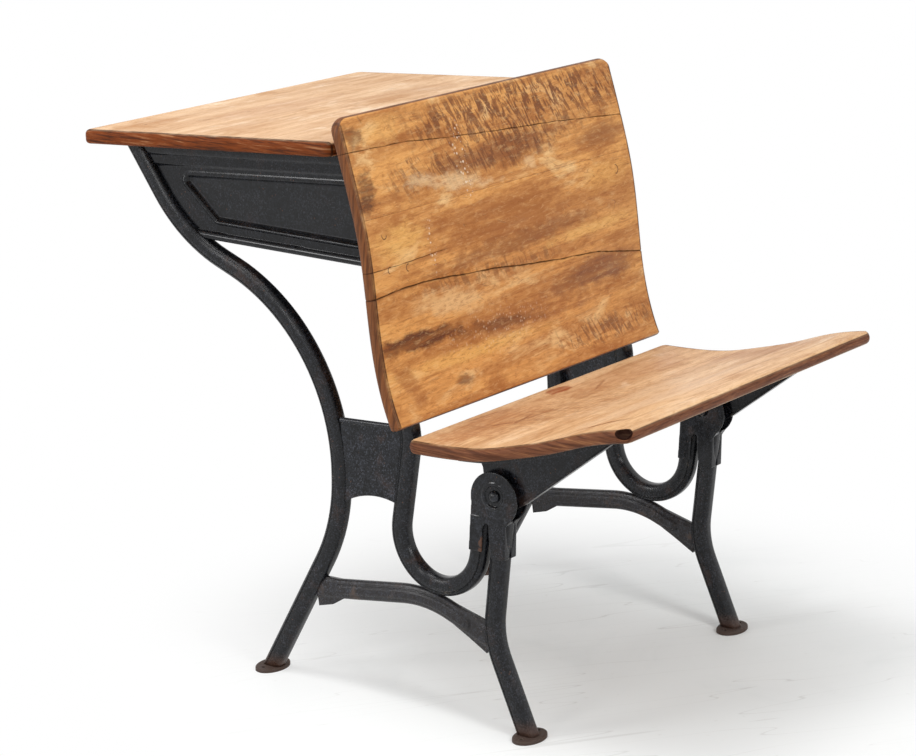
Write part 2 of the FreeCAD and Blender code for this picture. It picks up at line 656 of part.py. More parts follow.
def make_box_side(fitted_to):
    """Pressed side of the book box: two raised bands and a sunk field."""
    out = -SHEET - BAND_OUT
    rear0, rear1 = upright_rear_y(BOX_BOTTOM_Z), upright_rear_y(LID_BACK_Z)
    trim = beyond_leg(HALF_W, -100, 100)
    low = BOX_BOTTOM_Z + FOOT_BAND_H
    sheet = slab([(rear0, BOX_BOTTOM_Z), (800, BOX_BOTTOM_Z), (800, lid_under(800) - RIM_H),
                  (rear1, lid_under(rear1) - RIM_H)], -SHEET, 0)
    sheet = sheet.cut(box(-50, 50, 0, 900, 0, low - SHEET / 2))
    sheet = sheet.cut(field(0, -50, 50))
    floor = field(SHEET, -SHEET, FIELD_IN).cut(field(0, -50, FIELD_IN - SHEET))
    rear = upright_rear_y(lid_under(rear1))
    rim = lid_band(rear, 800, LID_GAP, RIM_H, out, 0)
    rim = rim.cut(lid_band(rear - 5, 800, LID_GAP + SHEET, RIM_H - SHEET, out + SHEET, 5))
    foot = slab([(rear0, BOX_BOTTOM_Z), (800, BOX_BOTTOM_Z), (800, low), (rear0, low)], out, 0)
    foot = foot.cut(box(out + SHEET, 5, 0, 900, BOX_BOTTOM_Z + SHEET, low - SHEET))
    side = fuse([sheet, floor, rim, foot]).cut(trim).cut(fitted_to)
    return max(tidy(side).Solids, key=lambda s: s.Volume)


def make_book_box():
    """Box floor that curves up the inside of the desk legs to the front rim."""
    y0, z0 = BOX_BACK_Y + SHEET, BOX_BOTTOM_Z
    outer = slab([(y0, z0), (800, z0), (800, 800), (y0, 800)], -SIDE_X, SIDE_X)
    inner = slab([(y0 - 5, z0 + SHEET), (900, z0 + SHEET), (900, 900), (y0 - 5, 900)], -SIDE_X - 5, SIDE_X + 5)
    d = HALF_W + PAN_GAP
    outer = outer.cut(beyond_leg(d, -SIDE_X - 5, SIDE_X + 5))
    inner = inner.cut(beyond_leg(d + SHEET, -SIDE_X - 10, SIDE_X + 10))
    return below_lid(max(outer.cut(inner).Solids, key=lambda s: s.Volume), LID_GAP)


def make_box_back(sides):
    """Back panel of the book box, notched for the lid hinges' leaves."""
    panel = box(-SIDE_X, SIDE_X, BOX_BACK_Y, BOX_BACK_Y + SHEET, BOX_BOTTOM_Z, 800)
    panel = below_lid(panel, LID_GAP).cut(sides)
    for x in (-HINGE_X, HINGE_X):
        half = HINGE_LEN / 2 + 1.0
        panel = panel.cut(box(x - half, x + half, 0, 900, lid_under(BOX_BACK_Y) - LEAF_T - 1.0, 900))
    panel = drilled(panel, leaf_screws_fixed(), LEAF_SCREW_LEN)
    return max(panel.Solids, key=lambda s: s.Volume)


# ------------------------------------------------------------ lid
BARREL_Y = BOX_BACK_Y - BARREL_R
BARREL_Z = lid_under(BARREL_Y) - 0.5 - BARREL_R
KNUCKLE_GAP = 0.3
LEAF_SPAN = 26.0           # leaf, out from the barrel
LEAF_SCREW_LEN = 12.0


def on_lid(shape):
    """Carry a shape drawn flat, lower back edge of the lid at 0, into place."""
    shape = shape.copy()
    shape.rotate(V(0, 0, 0), V(1, 0, 0), -LID_SLOPE)
    shape.translate(V(0, LID_BACK_Y, LID_BACK_Z))
    return shape


def lid_point(x, y, z):
    a = math.radians(-LID_SLOPE)
    return V(x, LID_BACK_Y + y * math.cos(a) - z * math.sin(a), LID_BACK_Z + y * math.sin(a) + z * math.cos(a))


def leaf_screws_moving():
    up = lid_point(0, 0, 1) - lid_point(0, 0, 0)
    y = BARREL_Y - LID_BACK_Y + LEAF_SPAN * 0.62
    return [(lid_point(s * HINGE_X + k * HINGE_LEN * 0.36, y, -LEAF_T - 0.05), up)
            for s in (-1, 1) for k in (-1, 0, 1)]


def leaf_screws_fixed():
    z = BARREL_Z - LEAF_SPAN * 0.62
    return [(V(s * HINGE_X + k * HINGE_LEN * 0.36, BOX_BACK_Y - LEAF_T - 0.05, z), V(0, 1, 0))
            for s in (-1, 1) for k in (-1, 0, 1)]


def knuckle_spans(x, moving):
    """X spans of one hinge's knuckles: the middle one moves with the lid."""
    a, b = x - HINGE_LEN / 2, x + HINGE_LEN / 2
    third = HINGE_LEN / 3
    if moving:
        return [(a + third + KNUCKLE_GAP, b - third - KNUCKLE_GAP)]
    return [(a, a + third), (b - third, b)]


def make_leaf(x, moving):
    """One leaf of a butt hinge with its knuckles, at the closed position."""
    a, b = x - HINGE_LEN / 2, x + HINGE_LEN / 2
    clear = BARREL_R + KNUCKLE_GAP
    parts = [rod(p, q, BARREL_Y, BARREL_Z, BARREL_R) for p, q in knuckle_spans(x, moving)]
    if moving:
        y_axis = (BARREL_Y - LID_BACK_Y) / math.cos(math.radians(LID_SLOPE))
        parts.append(on_lid(box(a, b, y_axis + clear, y_axis + LEAF_SPAN, -LEAF_T, 0)))
        parts += [on_lid(box(p, q, y_axis, y_axis + clear + 1, -LEAF_T, 0)) for p, q in knuckle_spans(x, True)]
    else:
        y0, y1 = BOX_BACK_Y - LEAF_T, BOX_BACK_Y
        parts.append(box(a, b, y0, y1, BARREL_Z - LEAF_SPAN, BARREL_Z - clear))
        parts += [box(p, q, y0, y1, BARREL_Z - clear - 1, BARREL_Z) for p, q in knuckle_spans(x, False)]
    leaf = fuse(parts).cut(rod(a - 1, b + 1, BARREL_Y, BARREL_Z, PIN_R + FIT))
    seats = leaf_screws_moving() if moving else leaf_screws_fixed()
    return drilled(leaf, seats, LEAF_SCREW_LEN)


def make_hinge_pin(x):
    """Pin with a small peened head at each end."""
    a, b = x - HINGE_LEN / 2, x + HINGE_LEN / 2
    heads = [rod(a - 1.2, a, BARREL_Y, BARREL_Z, 2.6), rod(b, b + 1.2, BARREL_Y, BARREL_Z, 2.6)]
    return fuse([rod(a - 1.2, b + 1.2, BARREL_Y, BARREL_Z, PIN_R)] + heads)


def make_lid():
    """One-piece wooden lid with rounded corners and edges."""
    w = LID_WIDTH / 2
    lid = box(-w, w, 0, LID_DEPTH, 0, LID_T)
    lid = lid.makeFillet(11.0, [e for e in lid.Edges if e.BoundBox.ZLength > LID_T - 1e-6])
    rims = [e for e in lid.Edges if e.BoundBox.ZLength < 1e-6]
    lid = lid.makeFillet(7.0, [e for e in rims if e.BoundBox.ZMin > LID_T / 2])
    low = [e for e in lid.Edges if e.BoundBox.ZLength < 1e-6 and e.BoundBox.ZMax < LID_T / 4]
    lid = lid.makeFillet(5.0, low)
    return drilled(on_lid(lid), leaf_screws_moving(), LEAF_SCREW_LEN)


# ------------------------------------------------------------ build
def place(shape):
    shape = shape.copy()
    shape.translate(V(0, -ORIGIN_Y, 0))
    return shape


def export(nodes):
    os.makedirs("parts", exist_ok=True)
    for name, shape in nodes.items():
        if not shape.isValid():
            raise RuntimeError("bad shape: " + name)
        place(shape).exportStep("parts/" + name + ".step")
        b = shape.BoundBox
        print("%-26s solids %d  vol %9.0f  x %.1f..%.1f y %.1f..%.1f z %.1f..%.1f" % (
            name, len(shape.Solids), shape.Volume, b.XMin, b.XMax, b.YMin, b.YMax, b.ZMin, b.ZMax))


def main():
    nodes = {}
    leg, leg_full = make_desk_leg()
    upright, upright_full = make_back_upright()
    front, front_full = make_front_leg()
    tubes = leg_full.multiFuse([upright_full, front_full])
    left = {
        "desk_leg": leg,
        "back_upright": upright,
        "front_leg": front,
        "stretcher": make_stretcher(tubes),
        "web_plate": make_web_plate(tubes),
        "front_foot": make_foot(FRONT_LEG_FOOT_Y),
        "rear_foot": make_foot(DESK_LEG_FOOT_Y),
        "hinge_outer_plate": make_hinge_plate(tubes, True),
        "hinge_inner_plate": make_hinge_plate(tubes, False),
        "pivot_bolt": make_pivot_bolt(),
        "pivot_nut": make_pivot_nut(),
        "seat_arm": make_seat_arm(),
        "back_clips": make_back_clips(),
        "box_side": make_box_side(tubes),
    }
    for name, shape in left.items():
        shape = shape.copy()
        shape.translate(V(-SIDE_X, 0, 0))
        nodes["left_" + name] = shape
        nodes["right_" + name] = mirrored(shape)
    sides = nodes["left_box_side"].fuse(nodes["right_box_side"])
    for name, x in (("left", -HINGE_X), ("right", HINGE_X)):
        nodes[name + "_lid_hinge_fixed_leaf"] = make_leaf(x, False)
        nodes[name + "_lid_hinge_moving_leaf"] = make_leaf(x, True)
        nodes[name + "_lid_hinge_pin"] = make_hinge_pin(x)
    nodes["seat_board"] = make_seat_board()
    nodes["seat_screws"] = screw_group(seat_screws(-SIDE_X) + seat_screws(SIDE_X), SEAT_SCREW_LEN)
    nodes["backrest_lower_board"], nodes["backrest_upper_board"] = make_back_boards()
    nodes["backrest_screws"] = screw_group(clip_screws(-SIDE_X) + clip_screws(SIDE_X), CLIP_SCREW_LEN)
    nodes["book_box"] = make_book_box()
    nodes["box_back_panel"] = make_box_back(sides)
    nodes["desk_lid"] = make_lid()
    nodes["lid_leaf_screws"] = screw_group(leaf_screws_moving(), LEAF_SCREW_LEN)
    nodes["box_leaf_screws"] = screw_group(leaf_screws_fixed(), LEAF_SCREW_LEN)
    export(nodes)


main()
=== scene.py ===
"""School desk with a lift lid and a folding seat, dressed for its looks.

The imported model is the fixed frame: +Z up, +X across the desk, -Y the way the
seat faces, in metres.  Old maple boards on a black painted frame of pressed
steel tube.
"""

import logging
import math
from dataclasses import dataclass, field
from enum import Enum
from typing import Callable, Sequence

import bmesh
import bpy
import numpy as np
from mathutils import Matrix, Vector, noise
from mathutils.bvhtree import BVHTree


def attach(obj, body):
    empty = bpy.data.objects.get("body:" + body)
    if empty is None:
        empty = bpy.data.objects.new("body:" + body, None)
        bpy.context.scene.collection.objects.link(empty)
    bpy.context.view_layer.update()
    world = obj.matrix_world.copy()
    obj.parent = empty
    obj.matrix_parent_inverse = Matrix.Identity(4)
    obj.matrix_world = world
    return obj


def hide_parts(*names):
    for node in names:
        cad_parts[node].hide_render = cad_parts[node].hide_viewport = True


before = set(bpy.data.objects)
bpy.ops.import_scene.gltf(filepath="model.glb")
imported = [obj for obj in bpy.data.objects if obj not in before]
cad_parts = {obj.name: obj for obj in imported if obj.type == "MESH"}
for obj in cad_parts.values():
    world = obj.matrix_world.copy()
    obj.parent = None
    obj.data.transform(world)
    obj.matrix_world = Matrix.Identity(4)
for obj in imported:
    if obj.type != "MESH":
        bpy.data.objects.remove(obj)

LOG = logging.getLogger("school_desk")
MM = 0.001
DEPTH_SHIFT = 267.5        # board profiles count depth from the front feet
NO_LIMIT = 10000.0         # reach of a stain through the board
Colour = tuple[float, float, float, float]
Triple = tuple[float, float, float]
WHITE: Colour = (1.0, 1.0, 1.0, 1.0)


def tone(red: int, green: int, blue: int) -> Colour:
    """A colour written as 0 to 255 screen values, as linear RGBA."""
    def linear(value: int) -> float:
        """One channel, from screen value to linear light."""
        v = value / 255.0
        return v / 12.92 if v <= 0.04045 else ((v + 0.055) / 1.055) ** 2.4
    return linear(red), linear(green), linear(blue), 1.0


# ---------------------------------------------------------------- node pen
def sum_of(way: str, turned: bool = False) -> "Callable[..., Value]":
    """A method of Value that adds the node of one sum.

    Args:
        way: the operation, as the Math and Vector Math nodes call it.
        turned: whether the other value comes first.

    Returns:
        The method.
    """
    def method(self: "Value", other: object = 0.0) -> "Value":
        """The sum of this value and another, on vectors where this one is a vector."""
        kind = "VectorMath" if self.socket.type in ("VECTOR", "RGBA") else "Math"
        a, b = (other, self) if turned else (self, other)
        return self.pen.put(kind, {0: a, 1: b}, operation=way)[0]
    return method


class Value:
    """A number, place or colour in a shader tree. Sums on it add the nodes they need."""
    __add__, __sub__, __rsub__ = sum_of("ADD"), sum_of("SUBTRACT"), sum_of("SUBTRACT", turned=True)
    __mul__, __truediv__, __abs__ = sum_of("MULTIPLY"), sum_of("DIVIDE"), sum_of("ABSOLUTE")
    most, least = sum_of("MAXIMUM"), sum_of("MINIMUM")

    def __init__(self, pen: "Pen", socket: bpy.types.NodeSocket) -> None:
        """Keeps the pen of the tree and the socket that gives the value."""
        self.pen = pen
        self.socket = socket

    def dot(self, other: object) -> "Value":
        """How far two directions agree."""
        return self.pen.put("VectorMath", {0: self, 1: other}, operation="DOT_PRODUCT")["Value"]

    def length(self) -> "Value":
        """A vector's length."""
        return self.pen.put("VectorMath", {0: self}, operation="LENGTH")["Value"]

    def turned(self, angle: object) -> "Value":
        """A place turned about Z."""
        return self.pen.put("VectorRotate", {"Vector": self, "Angle": angle}, rotation_type="Z_AXIS")[0]

    def split(self) -> "Results":
        """A place's X, Y and Z."""
        return self.pen.put("SeparateXYZ", {0: self})

    def span(self, low: object, high: object, to_low: float = 0.0, to_high: float = 1.0) -> "Value":
        """Eases the run from low..high to to_low..to_high, and holds it there."""
        sockets = {0: self, 1: low, 2: high, 3: to_low, 4: to_high}
        return self.pen.put("MapRange", sockets, interpolation_type="SMOOTHSTEP")[0]

    def noise(self, scale: object, detail: float = 2.0, rough: float = 0.5, bend: float = 0.0,
              result: int = 0) -> "Value":
        """Noise at this place: its value, or its colour where result is 1."""
        sockets = {"Vector": self, "Scale": scale, "Detail": detail, "Roughness": rough, "Distortion": bend}
        return self.pen.put("TexNoise", sockets)[result]


class Results:
    """What a node gives out."""

    def __init__(self, pen: "Pen", node: bpy.types.Node) -> None:
        """Keeps the node and the pen of its tree."""
        self.pen = pen
        self.node = node

    def __getitem__(self, key: int | str) -> Value:
        """One result, by number or name."""
        return Value(self.pen, self.node.outputs[key])


class Pen:
    """Draws the nodes of one shader tree."""

    def __init__(self, tree: bpy.types.NodeTree) -> None:
        """Keeps the tree that is drawn in."""
        self.tree = tree

    def fill(self, node: bpy.types.Node, inputs: dict) -> None:
        """Sets or links a node's inputs.

        Args:
            node: the node.
            inputs: socket name or number to a plain value or one of the tree's values.
        """
        for key, value in inputs.items():
            if isinstance(value, Value):
                self.tree.links.new(value.socket, node.inputs[key])
            else:
                node.inputs[key].default_value = value

    def put(self, kind: str, inputs: dict | None = None, **settings: object) -> Results:
        """Adds a node.

        Args:
            kind: the node's type without its "ShaderNode" start.
            inputs: socket name or number to what goes into it.
            **settings: the node's own properties.

        Returns:
            The node's results.
        """
        node = self.tree.nodes.new("ShaderNode" + kind)
        for name, value in settings.items():
            setattr(node, name, value)
        self.fill(node, inputs or {})
        return Results(self, node)

    def use(self, group: bpy.types.NodeTree, inputs: dict) -> Results:
        """Places a node group with its own values."""
        return self.put("Group", inputs, node_tree=group)

    def mix(self, share: Value, a: object, b: object) -> Value:
        """Mixes two colours."""
        return self.put("Mix", {0: share, 6: a, 7: b}, data_type="RGBA")[2]

    def seen(self) -> Value:
        """1 where the camera, a mirror or glass looks, 0 for the light of the room."""
        path = self.put("LightPath")
        return path["Is Camera Ray"].most(path["Is Glossy Ray"]).most(path["Is Transmission Ray"])


class Group(Pen):
    """A pen in a shader group of its own, which takes a place and other inputs."""

    def __init__(self, name: str, **inputs: float | Triple) -> None:
        """Starts the group.

        Args:
            name: the group's name.
            **inputs: each further input's first value, a number or a vector.
        """
        super().__init__(bpy.data.node_groups.new(name, "ShaderNodeTree"))
        for label, value in {"Place": (0.0, 0.0, 0.0), **inputs}.items():
            kind = "NodeSocketVector" if isinstance(value, tuple) else "NodeSocketFloat"
            self.tree.interface.new_socket(label, in_out="INPUT", socket_type=kind).default_value = value
        self.given = Results(self, self.tree.nodes.new("NodeGroupInput"))

    def close(self, **results: Value) -> bpy.types.NodeTree:
        """Gives the group its results.

        Args:
            **results: name of each result, a number, and its value.

        Returns:
            The group's tree.
        """
        for label in results:
            self.tree.interface.new_socket(label, in_out="OUTPUT", socket_type="NodeSocketFloat")
        self.fill(self.tree.nodes.new("NodeGroupOutput"), results)
        return self.tree


def new_material(name: str) -> tuple[bpy.types.Material, Pen, bpy.types.Node]:
    """Starts a material.

    Args:
        name: its name.

    Returns:
        The material, a pen in its tree and its Principled shader.
    """
    made = bpy.data.materials.new(name)
    made.use_nodes = True
    return made, Pen(made.node_tree), made.node_tree.nodes["Principled BSDF"]


class PaintShop:
    """The shader groups that the finishes share and their materials, each built once."""

    def __init__(self) -> None:
        """Builds every group."""
        self.grain = self._grain()
        self.patch = self._patch()
        self.rub = self._rub()
        self.skin = self._skin()
        self.scratch = self._scratch()
        self.nail = self._nail()
        self.dots = self._dots()
        self.materials: dict[str, bpy.types.Material] = {}

    def material(self, finish: "Finish") -> bpy.types.Material:
        """Builds a finish's material when it is first asked for.

        Args:
            finish: the finish.

        Returns:
            Its material.
        """
        if finish.name not in self.materials:
            self.materials[finish.name] = finish.build(self)
        return self.materials[finish.name]

    def spot(self, pen: Pen, place: Value, middle: Sequence[float], reach: Sequence[float],
             **more: float) -> Value:
        """Mask of a ragged oval.

        Args:
            pen: the material's pen.
            place: the place that the mask is read at.
            middle: the oval's middle, in mm.
            reach: its half sizes, in mm.
            **more: the group's other inputs.

        Returns:
            1 in its middle, 0 outside.
        """
        sizes = {"Middle": [v * MM for v in middle], "Reach": [v * MM for v in reach]}
        return pen.use(self.patch, {"Place": place, **sizes, **more})["Mask"]

    @staticmethod
    def _grain() -> bpy.types.NodeTree:
        """Wood figure: the place's X runs along the grain, Y across it."""
        pen = Group("wood_grain")
        place = pen.given["Place"]
        sway = (place * (2.2, 9.0, 9.0)).noise(1.0, result=1) - (0.5, 0.5, 0.5)
        swayed = place + sway * (0.0, 0.025, 0.025)
        flame_lean = 1.2
        return pen.close(
            Streak=(swayed * (5.0, 120.0, 120.0)).noise(1.0, 6.0, 0.66),
            Fibre=(place * (48.0, 760.0, 760.0)).noise(1.0, 4.0, 0.75),
            Flame=(place.turned(flame_lean) * (34.0, 125.0, 70.0)).noise(1.0, 4.0, 0.6, 0.9),
            Cloud=(place * (9.0, 22.0, 22.0)).noise(1.0, 5.0, 0.62, 0.6),
            Band=(swayed * (2.4, 34.0, 34.0)).noise(1.0, 3.0, 0.55, 0.3),
            Mottle=(place * (60.0, 200.0, 200.0)).noise(1.0, 5.0, 0.72, 0.6))

    @staticmethod
    def _patch() -> bpy.types.NodeTree:
        """A ragged oval spot: 1 in its middle, 0 outside."""
        pen = Group("ragged_spot", Middle=(0.0, 0.0, 0.0), Reach=(0.1, 0.1, 0.1), Turn=0.0, Ragged=0.5,
                    Soft=0.6, Grit=32.0)
        given = pen.given
        far = ((given["Place"] - given["Middle"]).turned(given["Turn"]) / given["Reach"]).length()
        wild = (given["Place"] * (1.0, 1.7, 1.7)).noise(given["Grit"], 5.0, 0.65) - 0.5
        far = far + wild * given["Ragged"] * 3.0
        return pen.close(Mask=far.span(1.0 - given["Soft"], 1.0, 1.0, 0.0))

    @staticmethod
    def _rub() -> bpy.types.NodeTree:
        """Wear along sharp edges, broken up by noise."""
        pen = Group("edge_rub", Width=0.001, Amount=0.5)
        round_way = pen.put("Bevel", {"Radius": pen.given["Width"]}, samples=4)[0]
        edge = round_way.dot(pen.put("NewGeometry")["Normal"]).span(0.995, 0.88)
        low = 0.78 - pen.given["Amount"] * 0.5
        return pen.close(Mask=edge * pen.given["Place"].noise(60.0, 5.0, 0.65).span(low, low + 0.12))

    @staticmethod
    def _skin() -> bpy.types.NodeTree:
        """Old brushed and sprayed paint: specks, clouds, pits and a gritty height."""
        pen = Group("paint_skin", Grit=430.0)
        place = pen.given["Place"]
        fine = place.noise(pen.given["Grit"], 3.0, 0.7)
        spots = pen.put("TexVoronoi", {"Vector": place, "Scale": 190.0}, feature="F1")["Distance"]
        pit = spots.span(0.24, 0.1) * place.noise(70.0).span(0.58, 0.66)
        height = fine * 0.5 + place.noise(240.0) * 0.8 - pit * 0.9
        return pen.close(Speck=fine, Cloud=place.noise(22.0, 5.0, 0.62, 0.4), Height=height, Pit=pit)

    @staticmethod
    def _scratch() -> bpy.types.NodeTree:
        """Thin wandering scratches, a little off the place's X."""
        pen = Group("fine_scratches")
        lean, thin = 0.35, 0.008
        turned = pen.given["Place"].turned(lean)
        line = abs((turned * (5.0, 42.0, 42.0)).noise(1.0, 1.0, 0.4, 0.5) - 0.5).span(0.0, thin, 1.0, 0.0)
        return pen.close(Mask=line * turned.noise(24.0, 3.0, 0.6).span(0.55, 0.66))

    @staticmethod
    def _nail() -> bpy.types.NodeTree:
        """A small pressed crescent, open on one side."""
        pen = Group("nail_mark", Middle=(0.0, 0.0, 0.0), Radius=0.004, Turn=0.0)
        given = pen.given
        off = ((given["Place"] - given["Middle"]) * (1.0, 1.0, 0.0)).turned(given["Turn"])
        ring = abs(off.length() - given["Radius"]).span(0.0011, 0.0004)
        return pen.close(Mask=ring * off.split()["X"].span(-0.002, 0.001))

    @staticmethod
    def _dots() -> bpy.types.NodeTree:
        """Small spattered dots."""
        pen = Group("spatter")
        spots = pen.put("TexVoronoi", {"Vector": pen.given["Place"], "Scale": 210.0}, feature="F1")
        few = pen.put("SeparateColor", {0: spots["Color"]})[0].span(0.5, 0.6)
        dot_size = 0.4
        return pen.close(Mask=(dot_size - spots["Distance"]).span(0.0, 0.1) * few)


# ---------------------------------------------------------------- finishes
@dataclass(frozen=True)
class Finish:
    """What every finish has: a name, and sockets that its shader takes."""
    name: str

    def build(self, shop: PaintShop) -> bpy.types.Material:
        """The finish as a material.

        Args:
            shop: the shared shader groups.

        Returns:
            The new material.
        """
        made, pen, shader = new_material(self.name)
        pen.fill(shader, self.sockets(pen, shop))
        return made

    def sockets(self, pen: Pen, shop: PaintShop) -> dict[str, object]:
        """Draws the finish; each kind has its own way.

        Args:
            pen: a pen in the material's tree.
            shop: the shared shader groups.

        Returns:
            What goes into the shader's sockets, by their names.
        """
        raise NotImplementedError


class GrainWay(Enum):
    """Which way a board lies: axes along the grain, across it and through."""
    STANDING = ("X", "Z", "Y")
    LYING = ("X", "Y", "Z")


class Spot(Enum):
    """What fills a stained place."""
    STAIN = "stain"
    STROKES = "strokes"
    SPATTER = "spatter"


@dataclass(frozen=True)
class Stain:
    """A ragged oval of another colour on a board.

    The middle and the reach are along the grain and across it, in mm; the
    colour is in screen values.
    """
    along: float
    across: float
    reach_along: float
    reach_across: float
    colour: tuple[int, int, int]
    share: float = 0.6
    turn: float = 0.0
    ragged: float = 0.5
    soft: float = 0.7
    kind: Spot = Spot.STAIN

    def mask(self, pen: Pen, shop: PaintShop, grain: Results, place: Value) -> Value:
        """How much of the stain lies at each place.

        Args:
            pen: the material's pen.
            shop: the shared shader groups.
            grain: results of the material's grain group.
            place: the board's place, along the grain first.

        Returns:
            The mask.
        """
        oval = shop.spot(pen, place, (self.along, self.across, 0.0),
                         (self.reach_along, self.reach_across, NO_LIMIT),
                         Turn=math.radians(self.turn), Ragged=self.ragged, Soft=self.soft)
        if self.kind is Spot.STROKES:
            fine = grain["Flame"].span(0.45, 0.58)
        elif self.kind is Spot.SPATTER:
            fine = pen.use(shop.dots, {"Place": place})["Mask"]
        else:
            fine = grain["Streak"].span(0.25, 0.6, 0.6, 1.0)
        return oval * fine * self.share


@dataclass(frozen=True)
class NailMark:
    """A crescent pressed into a board; place, radius in mm and turn in degrees."""
    along: float
    across: float
    radius: float
    turn: float

    def mask(self, pen: Pen, shop: PaintShop, place: Value) -> Value:
        """Where the crescent is pressed in."""
        return pen.use(shop.nail, {"Place": place, "Middle": (self.along * MM, self.across * MM, 0.0),
                                   "Radius": self.radius * MM, "Turn": math.radians(self.turn)})["Mask"]


@dataclass(frozen=True)
class WoodFinish(Finish):
    """Old oiled maple, with its stains, worn places, and dark edges: the end grain's own brown with painted
    shade on the turned-over edges.
    """
    way: GrainWay
    pale: Colour
    base: Colour
    brown: Colour
    dark: Colour
    # edge: the end grain's own brown, darkened further as painted shade of the turned-over edges
    edge: Colour
    show_side: Triple
    half_width: float
    under: Colour = tone(112, 74, 48)
    # cut: near-black fill of the splits and the chip's hollow, painted shade inside them
    cut: Colour = tone(30, 10, 3)
    streaks: float = 0.6
    bands: float = 0.5
    clouds: float = 0.7
    mottle: float = 0.4
    rough: float = 0.42
    coat: float = 0.0
    coat_rough: float = 0.28
    ior: float = 1.35
    end_from: float = 6.0
    end_soft: float = 4.0
    tilt: float = 0.0
    chip: tuple[Triple, Triple] | None = None
    stains: tuple[Stain, ...] = ()
    nail_marks: tuple[NailMark, ...] = ()

    def sockets(self, pen: Pen, shop: PaintShop) -> dict[str, object]:
        """Draws the wood: figure, stains, fibres, marks, edges with painted shade, and cuts filled with
        painted shade, in that order.

        Args:
            pen: a pen in the material's tree.
            shop: the shared shader groups.

        Returns:
            What goes into the shader's sockets, by their names.
        """
        coords = pen.put("TexCoord")
        axes = coords["Object"].split()
        place = pen.put("CombineXYZ", {i: axes[axis] for i, axis in enumerate(self.way.value)})[0]
        grain = pen.use(shop.grain, {"Place": place.turned(math.radians(self.tilt))})
        colour = self._figure(pen, grain)
        for stain in self.stains:
            colour = pen.mix(stain.mask(pen, shop, grain, place), colour, tone(*stain.colour))
        colour = self._fibres(pen, grain, colour)
        marks = pen.use(shop.scratch, {"Place": place})["Mask"]
        for mark in self.nail_marks:
            marks = marks.most(mark.mask(pen, shop, place) * 2.0)
        colour = pen.mix(marks * 0.38, colour, self.dark)
        # Edges take the edge tone: their own brown and painted shade where the face turns away.
        edge, under = self._edge(coords["Normal"], abs(axes["X"]))
        colour = pen.mix(under * 0.65, colour, self.under)
        colour = pen.mix(edge, colour, self._edge_and_shade_tone(pen, place))
        # Painted shade: a thin dark line where the face turns over and near the ends.
        colour = pen.mix(self._painted_shade_line(edge, abs(axes["X"]), grain), colour, self.dark)
        # Splits and the chipped hollow are darkened nearly to black with the cut tone: painted shade inside
        # them.
        cut = pen.put("Attribute", attribute_name="cut")["Fac"]
        if self.chip:
            cut = cut.most(shop.spot(pen, place, *self.chip, Ragged=0.0, Soft=0.06))
        rough = (grain["Cloud"] - 0.5) * 0.5 + self.rough + grain["Fibre"].span(0.4, 0.72) * 0.08
        height = grain["Fibre"] * 0.4 + grain["Streak"] + grain["Cloud"] * 0.8 - marks * 0.8
        bump = pen.put("Bump", {"Height": height, "Strength": 0.5, "Distance": 0.0008})[0]
        found = {"Base Color": pen.mix(cut * 0.97, colour, self.cut), "Normal": bump, "IOR": self.ior,
                 "Roughness": (rough + cut * 0.5).least(1.0), "Coat Roughness": self.coat_rough}
        if self.coat:
            found["Coat Weight"] = (1.0 - cut.most(edge)) * self.coat
        return found

    def _figure(self, pen: Pen, grain: Results) -> Value:
        """The board's own colour: streaks, bands and clouds over the base.

        Args:
            pen: the material's pen.
            grain: results of its grain group.

        Returns:
            The colour.
        """
        colour = pen.mix(grain["Band"].span(0.4, 0.64) * self.bands, self.base, self.brown)
        colour = pen.mix(grain["Streak"].span(0.46, 0.68) * self.streaks, colour, self.brown)
        colour = pen.mix(grain["Cloud"].span(0.5, 0.7) * self.clouds, colour, self.brown)
        return pen.mix(grain["Cloud"].span(0.46, 0.3) * self.clouds, colour, self.pale)

    def _fibres(self, pen: Pen, grain: Results, colour: Value) -> Value:
        """Lays fine fibres, mottle and dark dashes over a colour.

        Args:
            pen: the material's pen.
            grain: results of its grain group.
            colour: the colour so far.

        Returns:
            The new colour.
        """
        colour = pen.mix(grain["Fibre"].span(0.4, 0.72) * 0.3, colour, self.brown)
        colour = pen.mix(grain["Mottle"].span(0.5, 0.68, 0.0, self.mottle), colour, self.brown)
        colour = pen.mix(grain["Mottle"].span(0.5, 0.3, 0.0, self.mottle * 0.45), colour, self.pale)
        dash = grain["Fibre"].span(0.58, 0.7) * grain["Streak"].span(0.42, 0.6)
        return pen.mix(dash * 0.5, colour, self.dark)

    def _edge(self, normal: Value, far: Value) -> tuple[Value, Value]:
        """Tells the board's rounded edges, dark with handling and with painted shade, and its hidden face.

        Args:
            normal: the surface's direction.
            far: distance from the board's middle, in metres.

        Returns:
            Masks of the edges and ends, and of the hidden face.
        """
        facing = normal.dot(self.show_side)
        under = facing.span(-0.5, -0.8)
        start = self.half_width - self.end_from
        end = far.span(start * MM, (start + self.end_soft) * MM)
        return (facing.span(0.8, 0.4) - under).most(end), under

    def _edge_and_shade_tone(self, pen: Pen, place: Value) -> Value:
        """The edges' colour, end grain brown with painted shade, with the grain's dark and pale runs."""
        run = (place * (22.0, 16.0, 330.0)).noise(1.0, 4.0, 0.7)
        dark_runs = pen.mix(run.span(0.45, 0.62, 0.0, 0.85), self.edge, self.dark)
        return pen.mix(run.span(0.45, 0.3, 0.0, 0.5), dark_runs, self.brown)

    def _painted_shade_line(self, edge: Value, far: Value, grain: Results) -> Value:
        """Mask of the thin dark line of painted shade where the face turns over."""
        at_end = abs(far - (self.half_width - self.end_from) * MM).span(0.0022, 0.0006)
        return (1.0 - abs(edge * 2.0 - 1.0)).most(at_end) * grain["Cloud"].span(0.32, 0.6, 0.45, 1.0)


